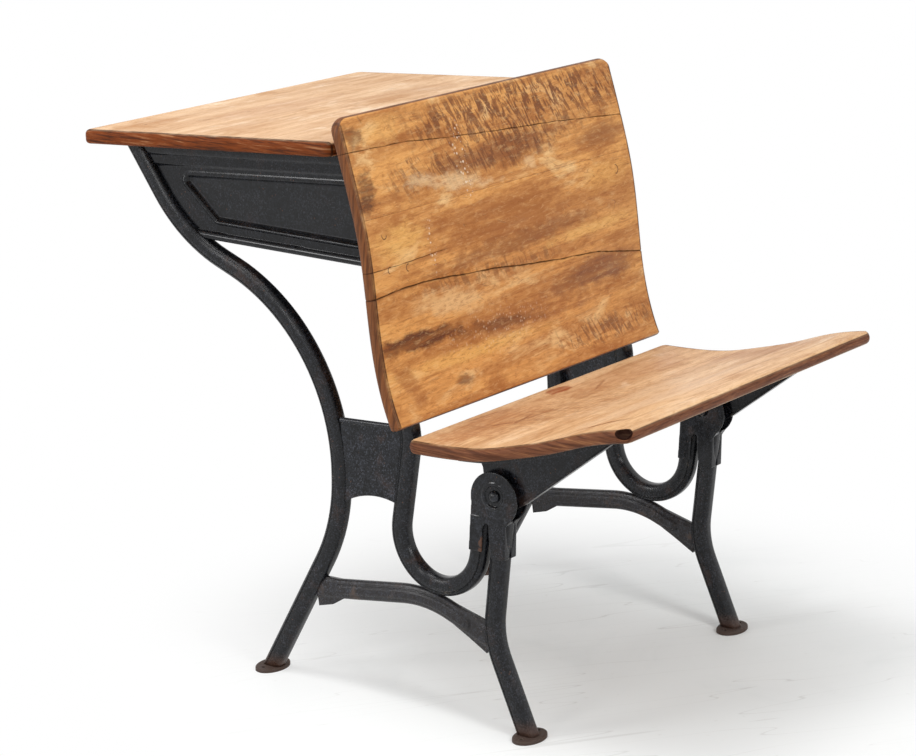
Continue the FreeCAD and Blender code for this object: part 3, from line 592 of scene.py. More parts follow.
@dataclass(frozen=True)
class PaintFinish(Finish):
    """Old black paint on steel: specks, rubbed edges, rust and dust.

    Each rust spot is its middle and its reach, in mm of the desk's frame.
    """
    black: Colour = tone(9, 9, 11)
    veil: Colour = tone(54, 57, 65)
    grey: Colour = tone(96, 100, 112)
    rust: Colour = tone(104, 68, 48)
    deep_rust: Colour = tone(44, 33, 29)
    bare: Colour = tone(140, 128, 116)
    rough: float = 0.21
    least_rough: float = 0.13
    most_rough: float = 0.95
    specks: float = 0.3
    haze: float = 0.6
    rub: float = 0.4
    rub_width: float = 0.0012
    round_edges: float = 0.002
    rusty: float = 0.25
    floor_rust: float = 0.7
    matt_inside_x: float = 0.0
    bump: float = 0.00025
    ior: float = 1.36
    rust_spots: tuple[tuple[Triple, Triple], ...] = ()

    def sockets(self, pen: Pen, shop: PaintShop) -> dict[str, object]:
        """Draws the paint: haze, specks, rust and rubbed edges.

        Args:
            pen: a pen in the material's tree.
            shop: the shared shader groups.

        Returns:
            What goes into the shader's sockets, by their names.
        """
        place = pen.put("TexCoord")["Object"]
        axes = place.split()
        skin = pen.use(shop.skin, {"Place": place})
        haze = place.noise(130.0, 7.0, 0.78, 0.3).span(0.44, 0.68, 0.0, self.haze)
        speck = skin["Speck"].span(0.5, 0.66) * self.specks * skin["Cloud"].span(0.35, 0.62, 0.25, 1.0)
        colour = pen.mix(speck, pen.mix(haze, self.black, self.veil), self.grey)
        rust = self._rust_mask(pen, shop, place, axes["Z"], skin)
        colour = pen.mix(rust, colour, pen.mix(skin["Speck"], self.rust, self.deep_rust))
        if self.rub:
            rubbed = pen.use(shop.rub, {"Place": place, "Width": self.rub_width, "Amount": self.rub})["Mask"]
            colour = pen.mix(rubbed * 0.8, colour, self.bare)
        rough = (skin["Cloud"] - 0.5) * 0.6 + self.rough + rust * 0.35
        if self.matt_inside_x:
            rough = rough + abs(axes["X"]).span((self.matt_inside_x + 1) * MM, self.matt_inside_x * MM) * 0.3
        relief = {"Height": skin["Height"] + rust * 0.5, "Strength": 0.55, "Distance": self.bump}
        if self.round_edges:
            relief["Normal"] = pen.put("Bevel", {"Radius": self.round_edges}, samples=6)[0]
        return {"Base Color": colour, "Roughness": rough.most(self.least_rough).least(self.most_rough),
                "Normal": pen.put("Bump", relief)[0], "IOR": self.ior}

    def _rust_mask(self, pen: Pen, shop: PaintShop, place: Value, height: Value, skin: Results) -> Value:
        """Mask of the rust: in pits and clouds, near the floor and where it is named.

        Args:
            pen: the material's pen.
            shop: the shared shader groups.
            place: the piece's place.
            height: the place's height.
            skin: results of the paint skin group.

        Returns:
            The mask.
        """
        low = height.span(0.05, 0.003, 0.0, self.floor_rust)
        for middle, reach in self.rust_spots:
            low = low.most(shop.spot(pen, place, middle, reach, Grit=90.0))
        ragged = (skin["Speck"] * 0.5 + low).span(0.45, 0.95)
        clouds = skin["Cloud"].span(0.54, 0.7) * self.rusty
        return clouds.most(ragged).most(skin["Pit"] * 0.8)


@dataclass(frozen=True)
class SteelFinish(Finish):
    """Dull steel of screws, pins and hinge leaves."""
    colour: Colour = tone(150, 146, 138)
    tarnish: Colour = tone(84, 72, 60)
    rough: float = 0.38
    metallic: float = 0.9

    def sockets(self, pen: Pen, shop: PaintShop) -> dict[str, object]:
        """Draws the steel, tarnished in clouds.

        Args:
            pen: a pen in the material's tree.
            shop: the shared shader groups.

        Returns:
            What goes into the shader's sockets, by their names.
        """
        skin = pen.use(shop.skin, {"Place": pen.put("TexCoord")["Object"], "Grit": 1400.0})
        dull = skin["Cloud"].span(0.4, 0.7)
        bump = pen.put("Bump", {"Height": skin["Height"], "Strength": 0.4, "Distance": 0.0002})[0]
        return {"Base Color": pen.mix(dull, self.colour, self.tarnish), "Normal": bump,
                "Roughness": dull * 0.3 + self.rough, "Metallic": self.metallic}


# Stains, row by row: along, across, reach along, reach across, colour, share,
# turn in degrees, ragged, soft, kind.
BACK_STAINS = (
    (0, 602, 215, 46, (152, 90, 42), 0.75, 0, 0.4),
    (20, 572, 270, 18, (124, 68, 32), 0.65, -2, 0.5),
    (-40, 472, 280, 26, (152, 88, 42), 0.65, 0, 0.5),
    (190, 500, 140, 28, (122, 72, 46), 0.9, -3, 0.35),
    (-225, 486, 130, 15, (84, 36, 12), 1.0, 0, 0.55, 0.55),
    (-60, 474, 130, 12, (104, 52, 22), 0.8, 3, 0.6),
    (-20, 690, 250, 24, (124, 72, 40), 0.8, -3, 0.6),
    (240, 680, 80, 20, (140, 88, 50), 0.65, 0, 0.5),
    (85, 742, 380, 46, (112, 62, 32), 0.85, 0, 0.35, 0.6, Spot.STROKES),
    (120, 750, 260, 26, (92, 48, 26), 0.5, 0, 0.5, 0.6, Spot.STROKES),
    (-20, 694, 310, 36, (102, 56, 30), 0.8, -3, 0.4, 0.6, Spot.STROKES),
    (190, 424, 180, 24, (112, 66, 38), 0.75, 0, 0.5, 0.7, Spot.STROKES),
    (-60, 545, 240, 16, (96, 54, 30), 0.5, 0, 0.6, 0.7, Spot.STROKES),
    (-140, 520, 120, 22, (238, 196, 140), 0.8, 6, 0.6),
    (-120, 672, 120, 15, (236, 200, 152), 0.7, 8, 0.8),
    (70, 668, 22, 12, (236, 200, 152), 0.6, 20, 0.8),
    (-240, 612, 70, 34, (232, 178, 100), 0.75, 0, 0.5),
    (190, 560, 140, 12, (234, 180, 106), 0.85, -2, 0.5),
    (-110, 450, 210, 13, (238, 184, 104), 0.8, 0, 0.5),
    (230, 625, 80, 28, (222, 164, 90), 0.6, 0, 0.5),
    (-230, 750, 60, 22, (230, 176, 104), 0.5, 0, 0.6),
    (-284, 680, 30, 30, (84, 46, 24), 0.9, 0, 0.9),
    (-284, 750, 26, 20, (88, 48, 26), 0.8, 0, 0.9),
    (-150, 420, 28, 8, (98, 54, 28), 0.8, 0, 0.7),
    (-262, 440, 50, 22, (150, 88, 44), 0.6, 60, 0.7),
    (-80, 690, 20, 70, (240, 226, 204), 0.9, 0, 0.4, 0.8, Spot.SPATTER),
    (-175, 600, 10, 44, (240, 226, 204), 0.85, 0, 0.4, 0.8, Spot.SPATTER),
    (-60, 470, 160, 40, (236, 214, 184), 0.35, 0, 0.4, 0.8, Spot.SPATTER),
)
SEAT_STAINS = (
    (-180, -145, 190, 50, (176, 116, 70), 0.75, 0, 0.5),
    (150, -160, 190, 34, (182, 130, 88), 0.7, 0, 0.5),
    (-60, -330, 300, 44, (232, 202, 168), 0.6, 0, 0.4),
    (40, -262, 250, 46, (240, 208, 168), 0.6, 2, 0.5),
    (250, -300, 60, 120, (180, 132, 98), 0.6, 0, 0.5),
    (8, -126, 30, 14, (150, 70, 22), 1.0, 0, 0.4, 0.3),
    (-240, -358, 11, 48, (128, 70, 32), 0.9, -22, 0.5),
    (-145, -173, 46, 3, (128, 72, 38), 0.7, -10, 0.7),
    (-115, -177, 50, 2.5, (128, 72, 38), 0.7, 4, 0.7),
    (-175, -163, 26, 3, (128, 72, 38), 0.7, 26, 0.7),
    (60, -158, 44, 3, (136, 80, 44), 0.65, -20, 0.7),
    (-160, -120, 44, 3, (128, 72, 38), 0.6, 4, 0.7),
    (-60, -200, 260, 70, (140, 86, 52), 0.4, 10, 0.8, 0.7, Spot.STROKES),
)
LID_STAINS = (
    (-230, 380, 100, 46, (176, 124, 76), 0.7, 0, 0.6),
    (-60, 300, 170, 60, (200, 160, 128), 0.6, 0, 0.6),
    (120, 210, 180, 60, (180, 134, 94), 0.65, 0, 0.7),
    (-200, 230, 90, 30, (186, 140, 100), 0.5, 0, 0.7),
)
NAIL_MARKS = ((-270, 627, 4.6, 100), (-268, 583, 4.0, 200), (-230, 580, 4.5, 190), (262, 628, 6.0, 10))

# Edge tones hold the end grain's own brown and painted shade on the turned-over edges.
BACK_WOOD = WoodFinish(
    "back_maple", GrainWay.STANDING, pale=tone(244, 204, 144), base=tone(224, 162, 92),
    brown=tone(160, 96, 46), dark=tone(74, 40, 18), edge=tone(112, 66, 34), show_side=(0.0, -0.96, 0.28),
    half_width=309.0, clouds=0.75, mottle=0.6, rough=0.45, ior=1.3, tilt=-2.5,
    stains=tuple(Stain(*row) for row in BACK_STAINS), nail_marks=tuple(NailMark(*row) for row in NAIL_MARKS))
SEAT_WOOD = WoodFinish(
    "seat_maple", GrainWay.LYING, pale=tone(244, 216, 180), base=tone(230, 190, 144),
    brown=tone(172, 120, 76), dark=tone(70, 36, 18), edge=tone(110, 66, 42), show_side=(0.0, 0.12, 0.99),
    half_width=304.0, bands=0.45, clouds=0.65, mottle=0.5, rough=0.5, coat=0.1, ior=1.25,
    chip=((-305.0, -427.5, 446.0), (15.0, 13.2, 9.6)), stains=tuple(Stain(*row) for row in SEAT_STAINS))
# The lid's tones are kept pale to paint in the sheen of its top: wood colour and painted sheen together.
LID_WOOD = WoodFinish(
    "lid_maple", GrainWay.LYING, pale=tone(242, 218, 188), base=tone(224, 188, 150),
    brown=tone(184, 138, 98), dark=tone(54, 24, 8), edge=tone(112, 52, 14), show_side=(0.0, 0.08, 0.99),
    half_width=299.5, rough=0.55, ior=1.22, stains=tuple(Stain(*row) for row in LID_STAINS))

TUBE_PAINT = PaintFinish("tube_black", rough=0.18, floor_rust=0.5, haze=0.25, bump=0.00012, round_edges=0.008)
STRETCHER_PAINT = PaintFinish("stretcher_black", black=tone(34, 30, 29), rusty=0.9, rust=tone(104, 88, 78),
                              specks=0.5, haze=0.5, round_edges=0.005)
PLATE_PAINT = PaintFinish("plate_black", specks=0.5, haze=0.4, bump=0.0003)
HINGE_PAINT = PaintFinish("hinge_black", rub=0.45, rough=0.16, haze=0.35, round_edges=0.0, bump=0.00015,
                          rust_spots=tuple(((x, -198, 247), (14, 11, 17)) for x in (-261, 261)))
ARM_PAINT = PaintFinish("arm_black", rough=0.2, rub=0.45, haze=0.35, bump=0.00015)
BOX_PAINT = PaintFinish("box_black", rough=0.14, specks=0.2, haze=0.2, rusty=0.08, rub=0.0, round_edges=0.0,
                        matt_inside_x=248.6, floor_rust=0.0, bump=0.00003)
FOOT_IRON = PaintFinish("foot_iron", black=tone(44, 38, 35), grey=tone(128, 116, 110),
                        rust=tone(98, 76, 64), rough=0.45, specks=0.6, rusty=0.6, floor_rust=0.5, rub=0.6,
                        bump=0.0008)
PIVOT_PAINT = PaintFinish("pivot_black", rub=0.6, rough=0.28, rusty=0.3)
SCREW_STEEL = SteelFinish("screw_steel")
LEAF_STEEL = SteelFinish("leaf_steel", colour=tone(120, 114, 104), tarnish=tone(70, 58, 48))


# ---------------------------------------------------------------- pieces
def stand_in(name: str, mesh: bpy.types.Mesh, material: bpy.types.Material, node: str, body: str) -> None:
    """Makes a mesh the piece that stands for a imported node.

    Args:
        name: the piece's name.
        mesh: its shape.
        material: its finish.
        node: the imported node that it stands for.
        body: the body that it rides on.
    """
    mesh.materials.clear()
    mesh.materials.append(material)
    piece = bpy.data.objects.new(name, mesh)
    bpy.context.scene.collection.objects.link(piece)
    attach(piece, body)
    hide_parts(node)
    LOG.info("%s: %d points", name, len(mesh.vertices))


def shaped_copy(name: str, mesh: bpy.types.Mesh, *modifiers: tuple[str, dict]) -> bpy.types.Mesh:
    """A new mesh, as modifiers leave a given one.

    Args:
        name: the new mesh's name.
        mesh: the mesh to start from, which is not changed.
        *modifiers: (kind, settings) of each modifier, in order.

    Returns:
        The new mesh.
    """
    holder = bpy.data.objects.new("rough_form", mesh)
    bpy.context.scene.collection.objects.link(holder)
    for kind, settings in modifiers:
        modifier = holder.modifiers.new(kind.lower(), kind)
        for key, value in settings.items():
            setattr(modifier, key, value)
    formed = bpy.data.meshes.new_from_object(holder.evaluated_get(bpy.context.evaluated_depsgraph_get()))
    bpy.data.objects.remove(holder)
    formed.name = name
    return formed


# ---------------------------------------------------------------- boards
class Profile:
    """A board's show face in the YZ plane, and its thickness behind it.

    Both faces are smooth curves through named points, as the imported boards'.
    """

    def __init__(self, points: Sequence[tuple[float, float]], thick: float) -> None:
        """Lays both curves.

        Args:
            points: (depth, height) of the show face's points, in mm.
            thick: thickness, positive to the curve's left.
        """
        show = np.array(points, float)
        self.thick = abs(thick)
        face, knots = self._curve(show)
        step = 1e-3
        heading = np.array([(face(k + step) - face(k - step)) for k in knots])
        heading /= np.linalg.norm(heading, axis=1)[:, None]
        hidden = show + np.column_stack((-heading[:, 1], heading[:, 0])) * thick
        other, other_knots = self._curve(hidden)
        share = np.linspace(0.0, len(show) - 1.0, 1200)
        rank = np.arange(len(show))
        self.front = np.array([face(u) for u in np.interp(share, rank, knots)])
        self.rear = np.array([other(u) for u in np.interp(share, rank, other_knots)])
        steps = np.linalg.norm(np.diff(self.front, axis=0), axis=1)
        self.run = np.concatenate(([0.0], np.cumsum(steps)))
        self.length = float(self.run[-1])

    @staticmethod
    def _curve(points: np.ndarray) -> tuple[Callable[[float], np.ndarray], np.ndarray]:
        """A smooth cubic through points, its end slopes those of the first and last four.

        Args:
            points: the points, one a row.

        Returns:
            A function from parameter to point, and the points' parameters.
        """
        h = np.linalg.norm(np.diff(points, axis=0), axis=1)
        u = np.concatenate(([0.0], np.cumsum(h)))
        h = np.diff(u)
        rise = np.diff(points, axis=0) / h[:, None]
        n = len(u)

        def end_slope(pick: slice, at: float) -> np.ndarray:
            """Slope at a parameter of the cubic through four points."""
            return np.polyfit(u[pick] - at, points[pick], 3)[2]

        grid, right = np.zeros((n, n)), np.zeros((n, 2))
        grid[0, 0] = grid[-1, -1] = 1.0
        right[0], right[-1] = end_slope(slice(0, 4), u[0]), end_slope(slice(n - 4, n), u[-1])
        for i in range(1, n - 1):
            grid[i, i - 1:i + 2] = h[i], 2 * (h[i - 1] + h[i]), h[i - 1]
            right[i] = 3 * (rise[i] * h[i - 1] + rise[i - 1] * h[i])
        slope = np.linalg.solve(grid, right)

        def at(value: float) -> np.ndarray:
            """Point at a parameter."""
            i = int(np.clip(np.searchsorted(u, value) - 1, 0, n - 2))
            t = (value - u[i]) / h[i]
            a, b = 2 * t ** 3 - 3 * t ** 2 + 1, t ** 3 - 2 * t ** 2 + t
            c, d = -2 * t ** 3 + 3 * t ** 2, t ** 3 - t ** 2
            return a * points[i] + b * h[i] * slope[i] + c * points[i + 1] + d * h[i] * slope[i + 1]

        return at, u

    def at(self, run: float, share: float) -> np.ndarray:
        """A point in or on the board.

        Args:
            run: run along the show face.
            share: 0 on the show face, 1 on the hidden one.

        Returns:
            Its depth and height.
        """
        front =[np.interp(run, self.run, self.front[:, k]) for k in (0, 1)]
        rear = [np.interp(run, self.run, self.rear[:, k]) for k in (0, 1)]
        return np.array(front) * (1 - share) + np.array(rear) * share

    def run_at(self, value: float, axis: int) -> float:
        """Run along the show face at a depth (axis 0) or height (axis 1)."""
        values = self.front[:, axis]
        way = -1.0 if values[0] > values[-1] else 1.0
        return float(np.interp(way * value, way * values, self.run))


def drawn_in(e: float, radius: float) -> float:
    """How far a round corner of this radius has drawn in, e from the end."""
    if e >= radius:
        return 0.0
    return radius - math.sqrt(max(0.0, radius ** 2 - (radius - e) ** 2))


class EdgeForm(Enum):
    """How a board's long edge is finished."""
    NOSE = "nose"
    JOINT = "joint"


@dataclass(frozen=True)
class LongEdge:
    """One long edge of a board: a round nose, or a flat joint with a small chamfer."""
    form: EdgeForm = EdgeForm.NOSE
    nose: float = 0.42
    corner: float = 0.0
    chamfer: float = 0.45
    angles: tuple[int, ...] = tuple(range(15, 180, 15))

    @property
    def count(self) -> int:
        """How many points carry a section round the edge."""
        return 2 if self.form is EdgeForm.JOINT else len(self.angles)

    def back(self, e: float) -> float:
        """How far the edge stands back, e from the board's end."""
        return self.chamfer if self.form is EdgeForm.JOINT else drawn_in(e, self.corner)

    def steps(self, thick: float, inset: float) -> list[tuple[float, float]]:
        """The points round the edge, from the show face to the hidden one.

        Args:
            thick: the board's thickness.
            inset: how far the section has drawn in here.

        Returns:
            How far each is out from the edge, and off the middle of the board.
        """
        if self.form is EdgeForm.JOINT:
            half = thick / 2 - max(self.chamfer, inset)
            return [(self.chamfer, -half), (self.chamfer, half)]
        half = thick / 2 - inset
        bulge = thick * self.nose * half / (thick / 2)
        turns = [math.radians(a) for a in self.angles]
        return [(bulge * math.sin(a), -half * math.cos(a)) for a in turns]


@dataclass(frozen=True)
class Crack:
    """A split along the grain.

    line holds (x, depth or height) points; live is the x span where it is open.
    """
    line: tuple[tuple[float, float], ...]
    deep: float = 1.8
    wide: float = 1.0
    live: tuple[float, float] = (-400.0, 400.0)
    step: float = 0.0
    fade: float = 12.0
    margin: float = 4.0
    # across the split: offset, share of the depth, how cut; the cut share is darkened nearly black in the
    # wood as painted shade
    section: tuple[Triple, ...] = ((-1.6, 0.0, 0.0), (-0.5, 0.12, 0.45), (0.0, 1.0, 1.0), (0.5, 0.12, 0.45),
                                   (1.6, 0.0, 0.0))


@dataclass
class Board:
    """A curved, worn board with rounded edges, built round and round its section."""
    name: str
    stands_for: str
    body: str
    slot: str
    finish: WoodFinish
    points: tuple[tuple[float, float], ...]
    thick: float
    width: float
    axis: int
    edges: tuple[LongEdge, LongEdge]
    span: tuple[float | None, float | None] = (None, None)
    round_end: float = 7.0
    cracks: tuple[Crack, ...] = ()
    waves: float = 0.35
    bite: tuple[Triple, Triple] | None = None
    column_gap: float = 3.6
    corner_gap: float = 1.6
    row_gap: float = 6.0
    profile: Profile = field(init=False)
    low: float = field(init=False)
    high: float = field(init=False)
    counts: list[int] = field(init=False)

    def __post_init__(self) -> None:
        """Lays the profile and counts the rows between the splits."""
        self.profile = Profile(self.points, self.thick)
        low, high = self.span
        self.low = 0.0 if low is None else self._run_at(low)
        self.high = self.profile.length if high is None else self._run_at(high)
        self.cracks = tuple(sorted(self.cracks, key=lambda c: self._run_at(c.line[0][1])))
        runs = [self.low] + [self._run_at(c.line[0][1]) for c in self.cracks] + [self.high]
        self.counts = [max(3, int((b - a) / self.row_gap)) for a, b in zip(runs, runs[1:])]

    def _run_at(self, value: float) -> float:
        """Run at a value of the board's axis."""
        return self.profile.run_at(value, self.axis)

    def build(self, shop: PaintShop) -> None:
        """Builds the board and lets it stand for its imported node.

        Args:
            shop: where its material comes from.
        """
        rings =[self._ring(x) for x in self._columns()]
        count = len(rings[0])
        points = [p for ring in rings for p in ring]
        starts = [k * count for k in range(len(rings))]
        faces = [(a + i, a + (i + 1) % count, b + (i + 1) % count, b + i)
                 for a, b in zip(starts, starts[1:]) for i in range(count)]
        faces += self._cap(0, count)
        faces += [tuple(reversed(f)) for f in self._cap(starts[-1], count)]
        mesh = bpy.data.meshes.new(self.name)
        mesh.from_pydata([(x * MM, (y - DEPTH_SHIFT) * MM, z * MM) for x, y, z, _ in points], [], faces)
        if self.thick < 0:
            mesh.flip_normals()
        mesh.attributes.new("cut", "FLOAT", "POINT").data.foreach_set("value", [p[3] for p in points])
        mesh.shade_smooth()
        if self.bite:
            mesh = self._carved(mesh)
        stand_in(self.name, mesh, shop.material(self.finish), self.stands_for, self.body)

    def _columns(self) -> list[float]:
        """Stations along X, close together where the ends round off."""
        half, r = self.width / 2, self.round_end
        near = [r * (1 - math.cos(math.radians(a))) for a in (8, 22, 36, 50, 64, 78, 90)]
        reach = max(*(edge.corner for edge in self.edges), r + 2.0)
        near += list(np.linspace(r, reach, max(2, int((reach - r) / self.corner_gap)))[1:])
        count = int((half - reach) / self.column_gap)
        left = [-half + e for e in near]
        middle = list(np.linspace(-half + reach, half - reach, 2 * count)[1:-1])
        return left + middle + [-x for x in reversed(left)]

    def _ring(self, x: float) -> list[tuple[float, float, float, float]]:
        """One section of the board.

        Args:
            x: its station.

        Returns:
            (x, depth, height, how cut) of its points, in order round it.
        """
        e = self.width / 2 - abs(x)
        inset, thick = drawn_in(e, self.round_end), self.profile.thick
        low, high = self.low + self.edges[0].back(e), self.high - self.edges[1].back(e)
        rows = self._rows(x, low, high)
        ring = [self._point(x, run, (inset + down + self._worn(x, run)) / thick, cut)
                for run, down, cut in rows]
        ring += self._turn_edge(x, high, self.edges[1], 1, inset)
        ring += [self._point(x, run, 1 - (inset + down * 0.5) / thick, cut * 0.8)
                 for run, down, cut in reversed(rows)]
        return ring + self._turn_edge(x, low, self.edges[0], -1, inset)

    def _point(self, x: float, run: float, share: float, cut: float) -> tuple[float, float, float, float]:
        """A point of the section at x, share of the way through the board."""
        y, z = self.profile.at(run, share)
        return x, float(y), float(z), cut

    def _worn(self, x: float, run: float) -> float:
        """Depth of the show face's gentle waves, in mm."""
        a = noise.noise(Vector((x * 0.012, run * 0.02, 3.1 if self.axis else 7.7)))
        b = noise.noise(Vector((x * 0.035, run * 0.07, 11.3)))
        return self.waves * (0.5 + 0.5 * a) + self.waves * 0.3 * (0.5 + 0.5 * b)

    def _rows(self, x: float, low: float, high: float) -> list[Triple]:
        """The face's rows at x, with five rows to each crack.

        Args:
            x: the station.
            low: first run.
            high: last run.

        Returns:
            Run, depth below the face and how cut, for each row.
        """
        rows = [(low, 0.0, 0.0)]
        for crack, count in zip((*self.cracks, None), self.counts):
            found = self._crack_rows(x, crack, low, high) if crack else [(high, 0.0, 0.0)]
            last, end = rows[-1][0], found[0][0]
            rows += [(last + (end - last) * k / count, 0.0, 0.0) for k in range(1, count)]
            rows += found
        return rows

    def _crack_rows(self, x: float, crack: Crack, low: float, high: float) -> list[Triple]:
        """Five rows over one crack.

        Args:
            x: the station.
            crack: the crack.
            low: the face's first run.
            high: its last run.

        Returns:
            Run, depth below the face and how cut, for each row.
        """
        middle =self._run_at(float(np.interp(x, *zip(*crack.line))))
        middle += (0.7 * noise.noise(Vector((x * 0.05, middle * 0.01, 1.7)))
                   + 0.25 * noise.noise(Vector((x * 0.3, 5.0, 0.0))))
        middle = min(max(middle, low + crack.margin), high - crack.margin)
        first, last = crack.live
        fade = min(1.0, max(0.0, (x - first) / crack.fade)) * min(1.0, max(0.0, (last - x) / crack.fade))
        ragged = max(0.0, 0.5 + noise.noise(Vector((x * 0.04, middle, 2.2))))
        open_now = fade * (0.6 + 0.8 * ragged)
        wide = crack.wide * (0.5 + 0.5 * open_now)
        rows = []
        for offset, share, cut in crack.section:
            lifted = crack.step * fade * (0.0 if offset <= 0 else 1.0 if offset < 1 else 0.35)
            down = share * crack.deep * open_now + lifted
            rows.append((middle + offset * wide, down, cut * min(1.0, open_now)))
        return rows

    def _turn_edge(self, x: float, run: float, edge: LongEdge, way: int,
                   inset: float) -> list[tuple[float, float, float, float]]:
        """The points that carry the section round one long edge.

        Args:
            x: the station.
            run: run of the edge.
            edge: its form.
            way: 1 at the far edge, -1 at the first.
            inset: how far the section has drawn in here.

        Returns:
            The points, in the section's order.
        """
        profile, reach = self.profile, 0.6
        near = profile.at(run, 0.5)
        ahead = profile.at(min(run + reach, profile.length), 0.5) - profile.at(max(run - reach, 0.0), 0.5)
        ahead = way * ahead / np.linalg.norm(ahead)
        through = profile.at(run, 1.0) - profile.at(run, 0.0)
        through /= np.linalg.norm(through)
        places = [near + ahead * out + through * off * way for out, off in edge.steps(profile.thick, inset)]
        return [(x, float(y), float(z), 0.0) for y, z in places]

    def _cap(self, start: int, count: int) -> list[tuple[int, ...]]:
        """Faces that close one end: strips between the two faces, and across each edge's round.

        Args:
            start: index of the section's first point.
            count: points in a section.

        Returns:
            The faces.
        """
        tips = [edge.count for edge in self.edges]
        rows = (count - sum(tips)) // 2
        back = rows + tips[1]
        faces = [(start + j, start + back + rows - 1 - j, start + back + rows - 2 - j, start + j + 1)
                 for j in range(rows - 1)]
        for chain in (list(range(rows - 1, back + 1)), list(range(back + rows - 1, count)) + [0]):
            chain = [start + k for k in chain]
            while len(chain) > 2:
                near, far = chain[:2], chain[-2:]
                last = len(chain) == 3
                faces.append((near[0], far[1], near[1]) if last else (near[0], far[1], far[0], near[1]))
                chain = chain[1:-1]
        return faces

    def _carved(self, mesh: bpy.types.Mesh) -> bpy.types.Mesh:
        """Takes the chipped hollow out of the board's corner.

        Args:
            mesh: the whole board.

        Returns:
            A mesh without the hollow.
        """
        made = bmesh.new()
        bmesh.ops.create_icosphere(made, subdivisions=4, radius=1.0)
        (x0, y0, z0), (rx, ry, rz) = self.bite
        for vertex in made.verts:
            x, y, z = vertex.co * (1 + 0.12 * noise.noise(vertex.co * 2.2))
            vertex.co = ((x0 + x * rx) * MM, (y0 + y * ry - DEPTH_SHIFT) * MM, (z0 + z * rz) * MM)
        hollow = bpy.data.meshes.new("hollow")
        made.to_mesh(hollow)
        made.free()
        cutter = bpy.data.objects.new("hollow", hollow)
        bpy.context.scene.collection.objects.link(cutter)
        cut = {"operation": "DIFFERENCE", "object": cutter, "solver": "EXACT"}
        shaped = shaped_copy(self.name, mesh, ("BOOLEAN", cut))
        shaped.set_sharp_from_angle(angle=math.radians(38))
        bpy.data.objects.remove(cutter)
        return shaped


BACK_POINTS = ((170.0, 395.0), (190.5, 450.0), (202.5, 506.0), (210.5, 562.0),
               (220.5, 620.0), (241.0, 694.0), (266.0, 770.0))
SEAT_POINTS = ((156.0, 378.5), (95.0, 381.5), (49.0, 387.5), (10.0, 397.5),
               (-50.0, 415.5), (-100.0, 434.0), (-138.0, 444.5), (-160.0, 448.5))
BACK_JOINT = 650.0

TOP_SPLIT = Crack(((-309, 733), (-180, 730), (-100, 723), (0, 717), (150, 709), (309, 697)),
                  1.6, 0.8, step=0.25)
SHORT_SPLIT = Crack(((-309, 586), (-230, 587), (-150, 589), (309, 589)), 1.3, 0.7, (-400, -140))
WAVY_SPLIT = Crack(((-309, 552), (-250, 556), (-200, 556), (-150, 553), (-100, 549), (-50, 546), (0, 540),
                    (100, 531), (200, 524), (250, 515), (309, 506)), 2.2, 1.1, step=0.6)


def make_boards() -> tuple[Board, ...]:
    """The curved boards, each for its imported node."""
    joint = LongEdge(EdgeForm.JOINT)
    back = {"body": "frame", "slot": "back_wood", "finish": BACK_WOOD, "points": BACK_POINTS, "thick": -16.0,
            "width": 617.9, "axis": 1, "round_end": 7.2}
    return (
        Board(name="lower_back_board", stands_for="backrest_lower_board", span=(None, BACK_JOINT),
              edges=(LongEdge(nose=0.25, corner=3.0), joint), cracks=(WAVY_SPLIT, SHORT_SPLIT), **back),
        Board(name="upper_back_board", stands_for="backrest_upper_board", span=(BACK_JOINT, None),
              edges=(joint, LongEdge(nose=0.41, corner=21.0)), cracks=(TOP_SPLIT,), **back),
        Board(name="seat_top_board", stands_for="seat_board", body="seat", slot="seat_wood", finish=SEAT_WOOD,
              points=SEAT_POINTS, thick=17.0, width=608.0, axis=0, round_end=6.5,
              edges=(LongEdge(corner=15.0), LongEdge(corner=14.0)),
              bite=((-305.0, -160.0, 446.0), (12.0, 10.5, 7.5)), row_gap=4.0, column_gap=4.0),
    )


# ---------------------------------------------------------------- pressings
def lid_under(depth: float | np.ndarray) -> float | np.ndarray:
    """Height of the lid's underside at a depth, in mm."""
    return 722.9 - math.tan(math.radians(4.375)) * (depth - 284.0)


def eased(value: np.ndarray, low: float, high: float) -> np.ndarray:
    """Numbers that rise smoothly from 0 at low to 1 at high."""
    t = np.clip((value - low) / (high - low), 0.0, 1.0)
    return t * t * (3 - 2 * t)


def rolled(value: np.ndarray, wide: float) -> np.ndarray:
    """Height of a rolled band, 1 at its middle, from 0 to wide with a little over."""
    return np.sqrt(np.clip(1 - ((value - wide / 2) / (wide / 2 + 1.5)) ** 2, 0.0, 1.0))


def distance_to_outline(outline: Sequence[tuple[float, float]], y: np.ndarray, z: np.ndarray) -> np.ndarray:
    """Distance from an outline, negative inside it.

    Args:
        outline: its corners.
        y: depths to measure at.
        z: heights to measure at.

    Returns:
        The distances.
    """
    far = np.full(y.shape, np.inf)
    inside = np.zeros(y.shape, bool)
    for (y0, z0), (y1, z1) in zip(outline, (*outline[1:], outline[0])):
        dy, dz = y1 - y0, z1 - z0
        t = np.clip(((y - y0) * dy + (z - z0) * dz) / (dy * dy + dz * dz), 0.0, 1.0)
        far = np.minimum(far, np.hypot(y - y0 - t * dy, z - z0 - t * dz))
        inside ^= ((z0 > z) != (z1 > z)) & (y < y0 + (z - z0) * dy / (dz or 1.0))
    return np.where(inside, -far, far)


def node_faces(name: str) -> BVHTree:
    """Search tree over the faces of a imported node."""
    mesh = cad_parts[name].data
    faces = [tuple(p.vertices) for p in mesh.polygons]
    return BVHTree.FromPolygons([v.co.copy() for v in mesh.vertices], faces)


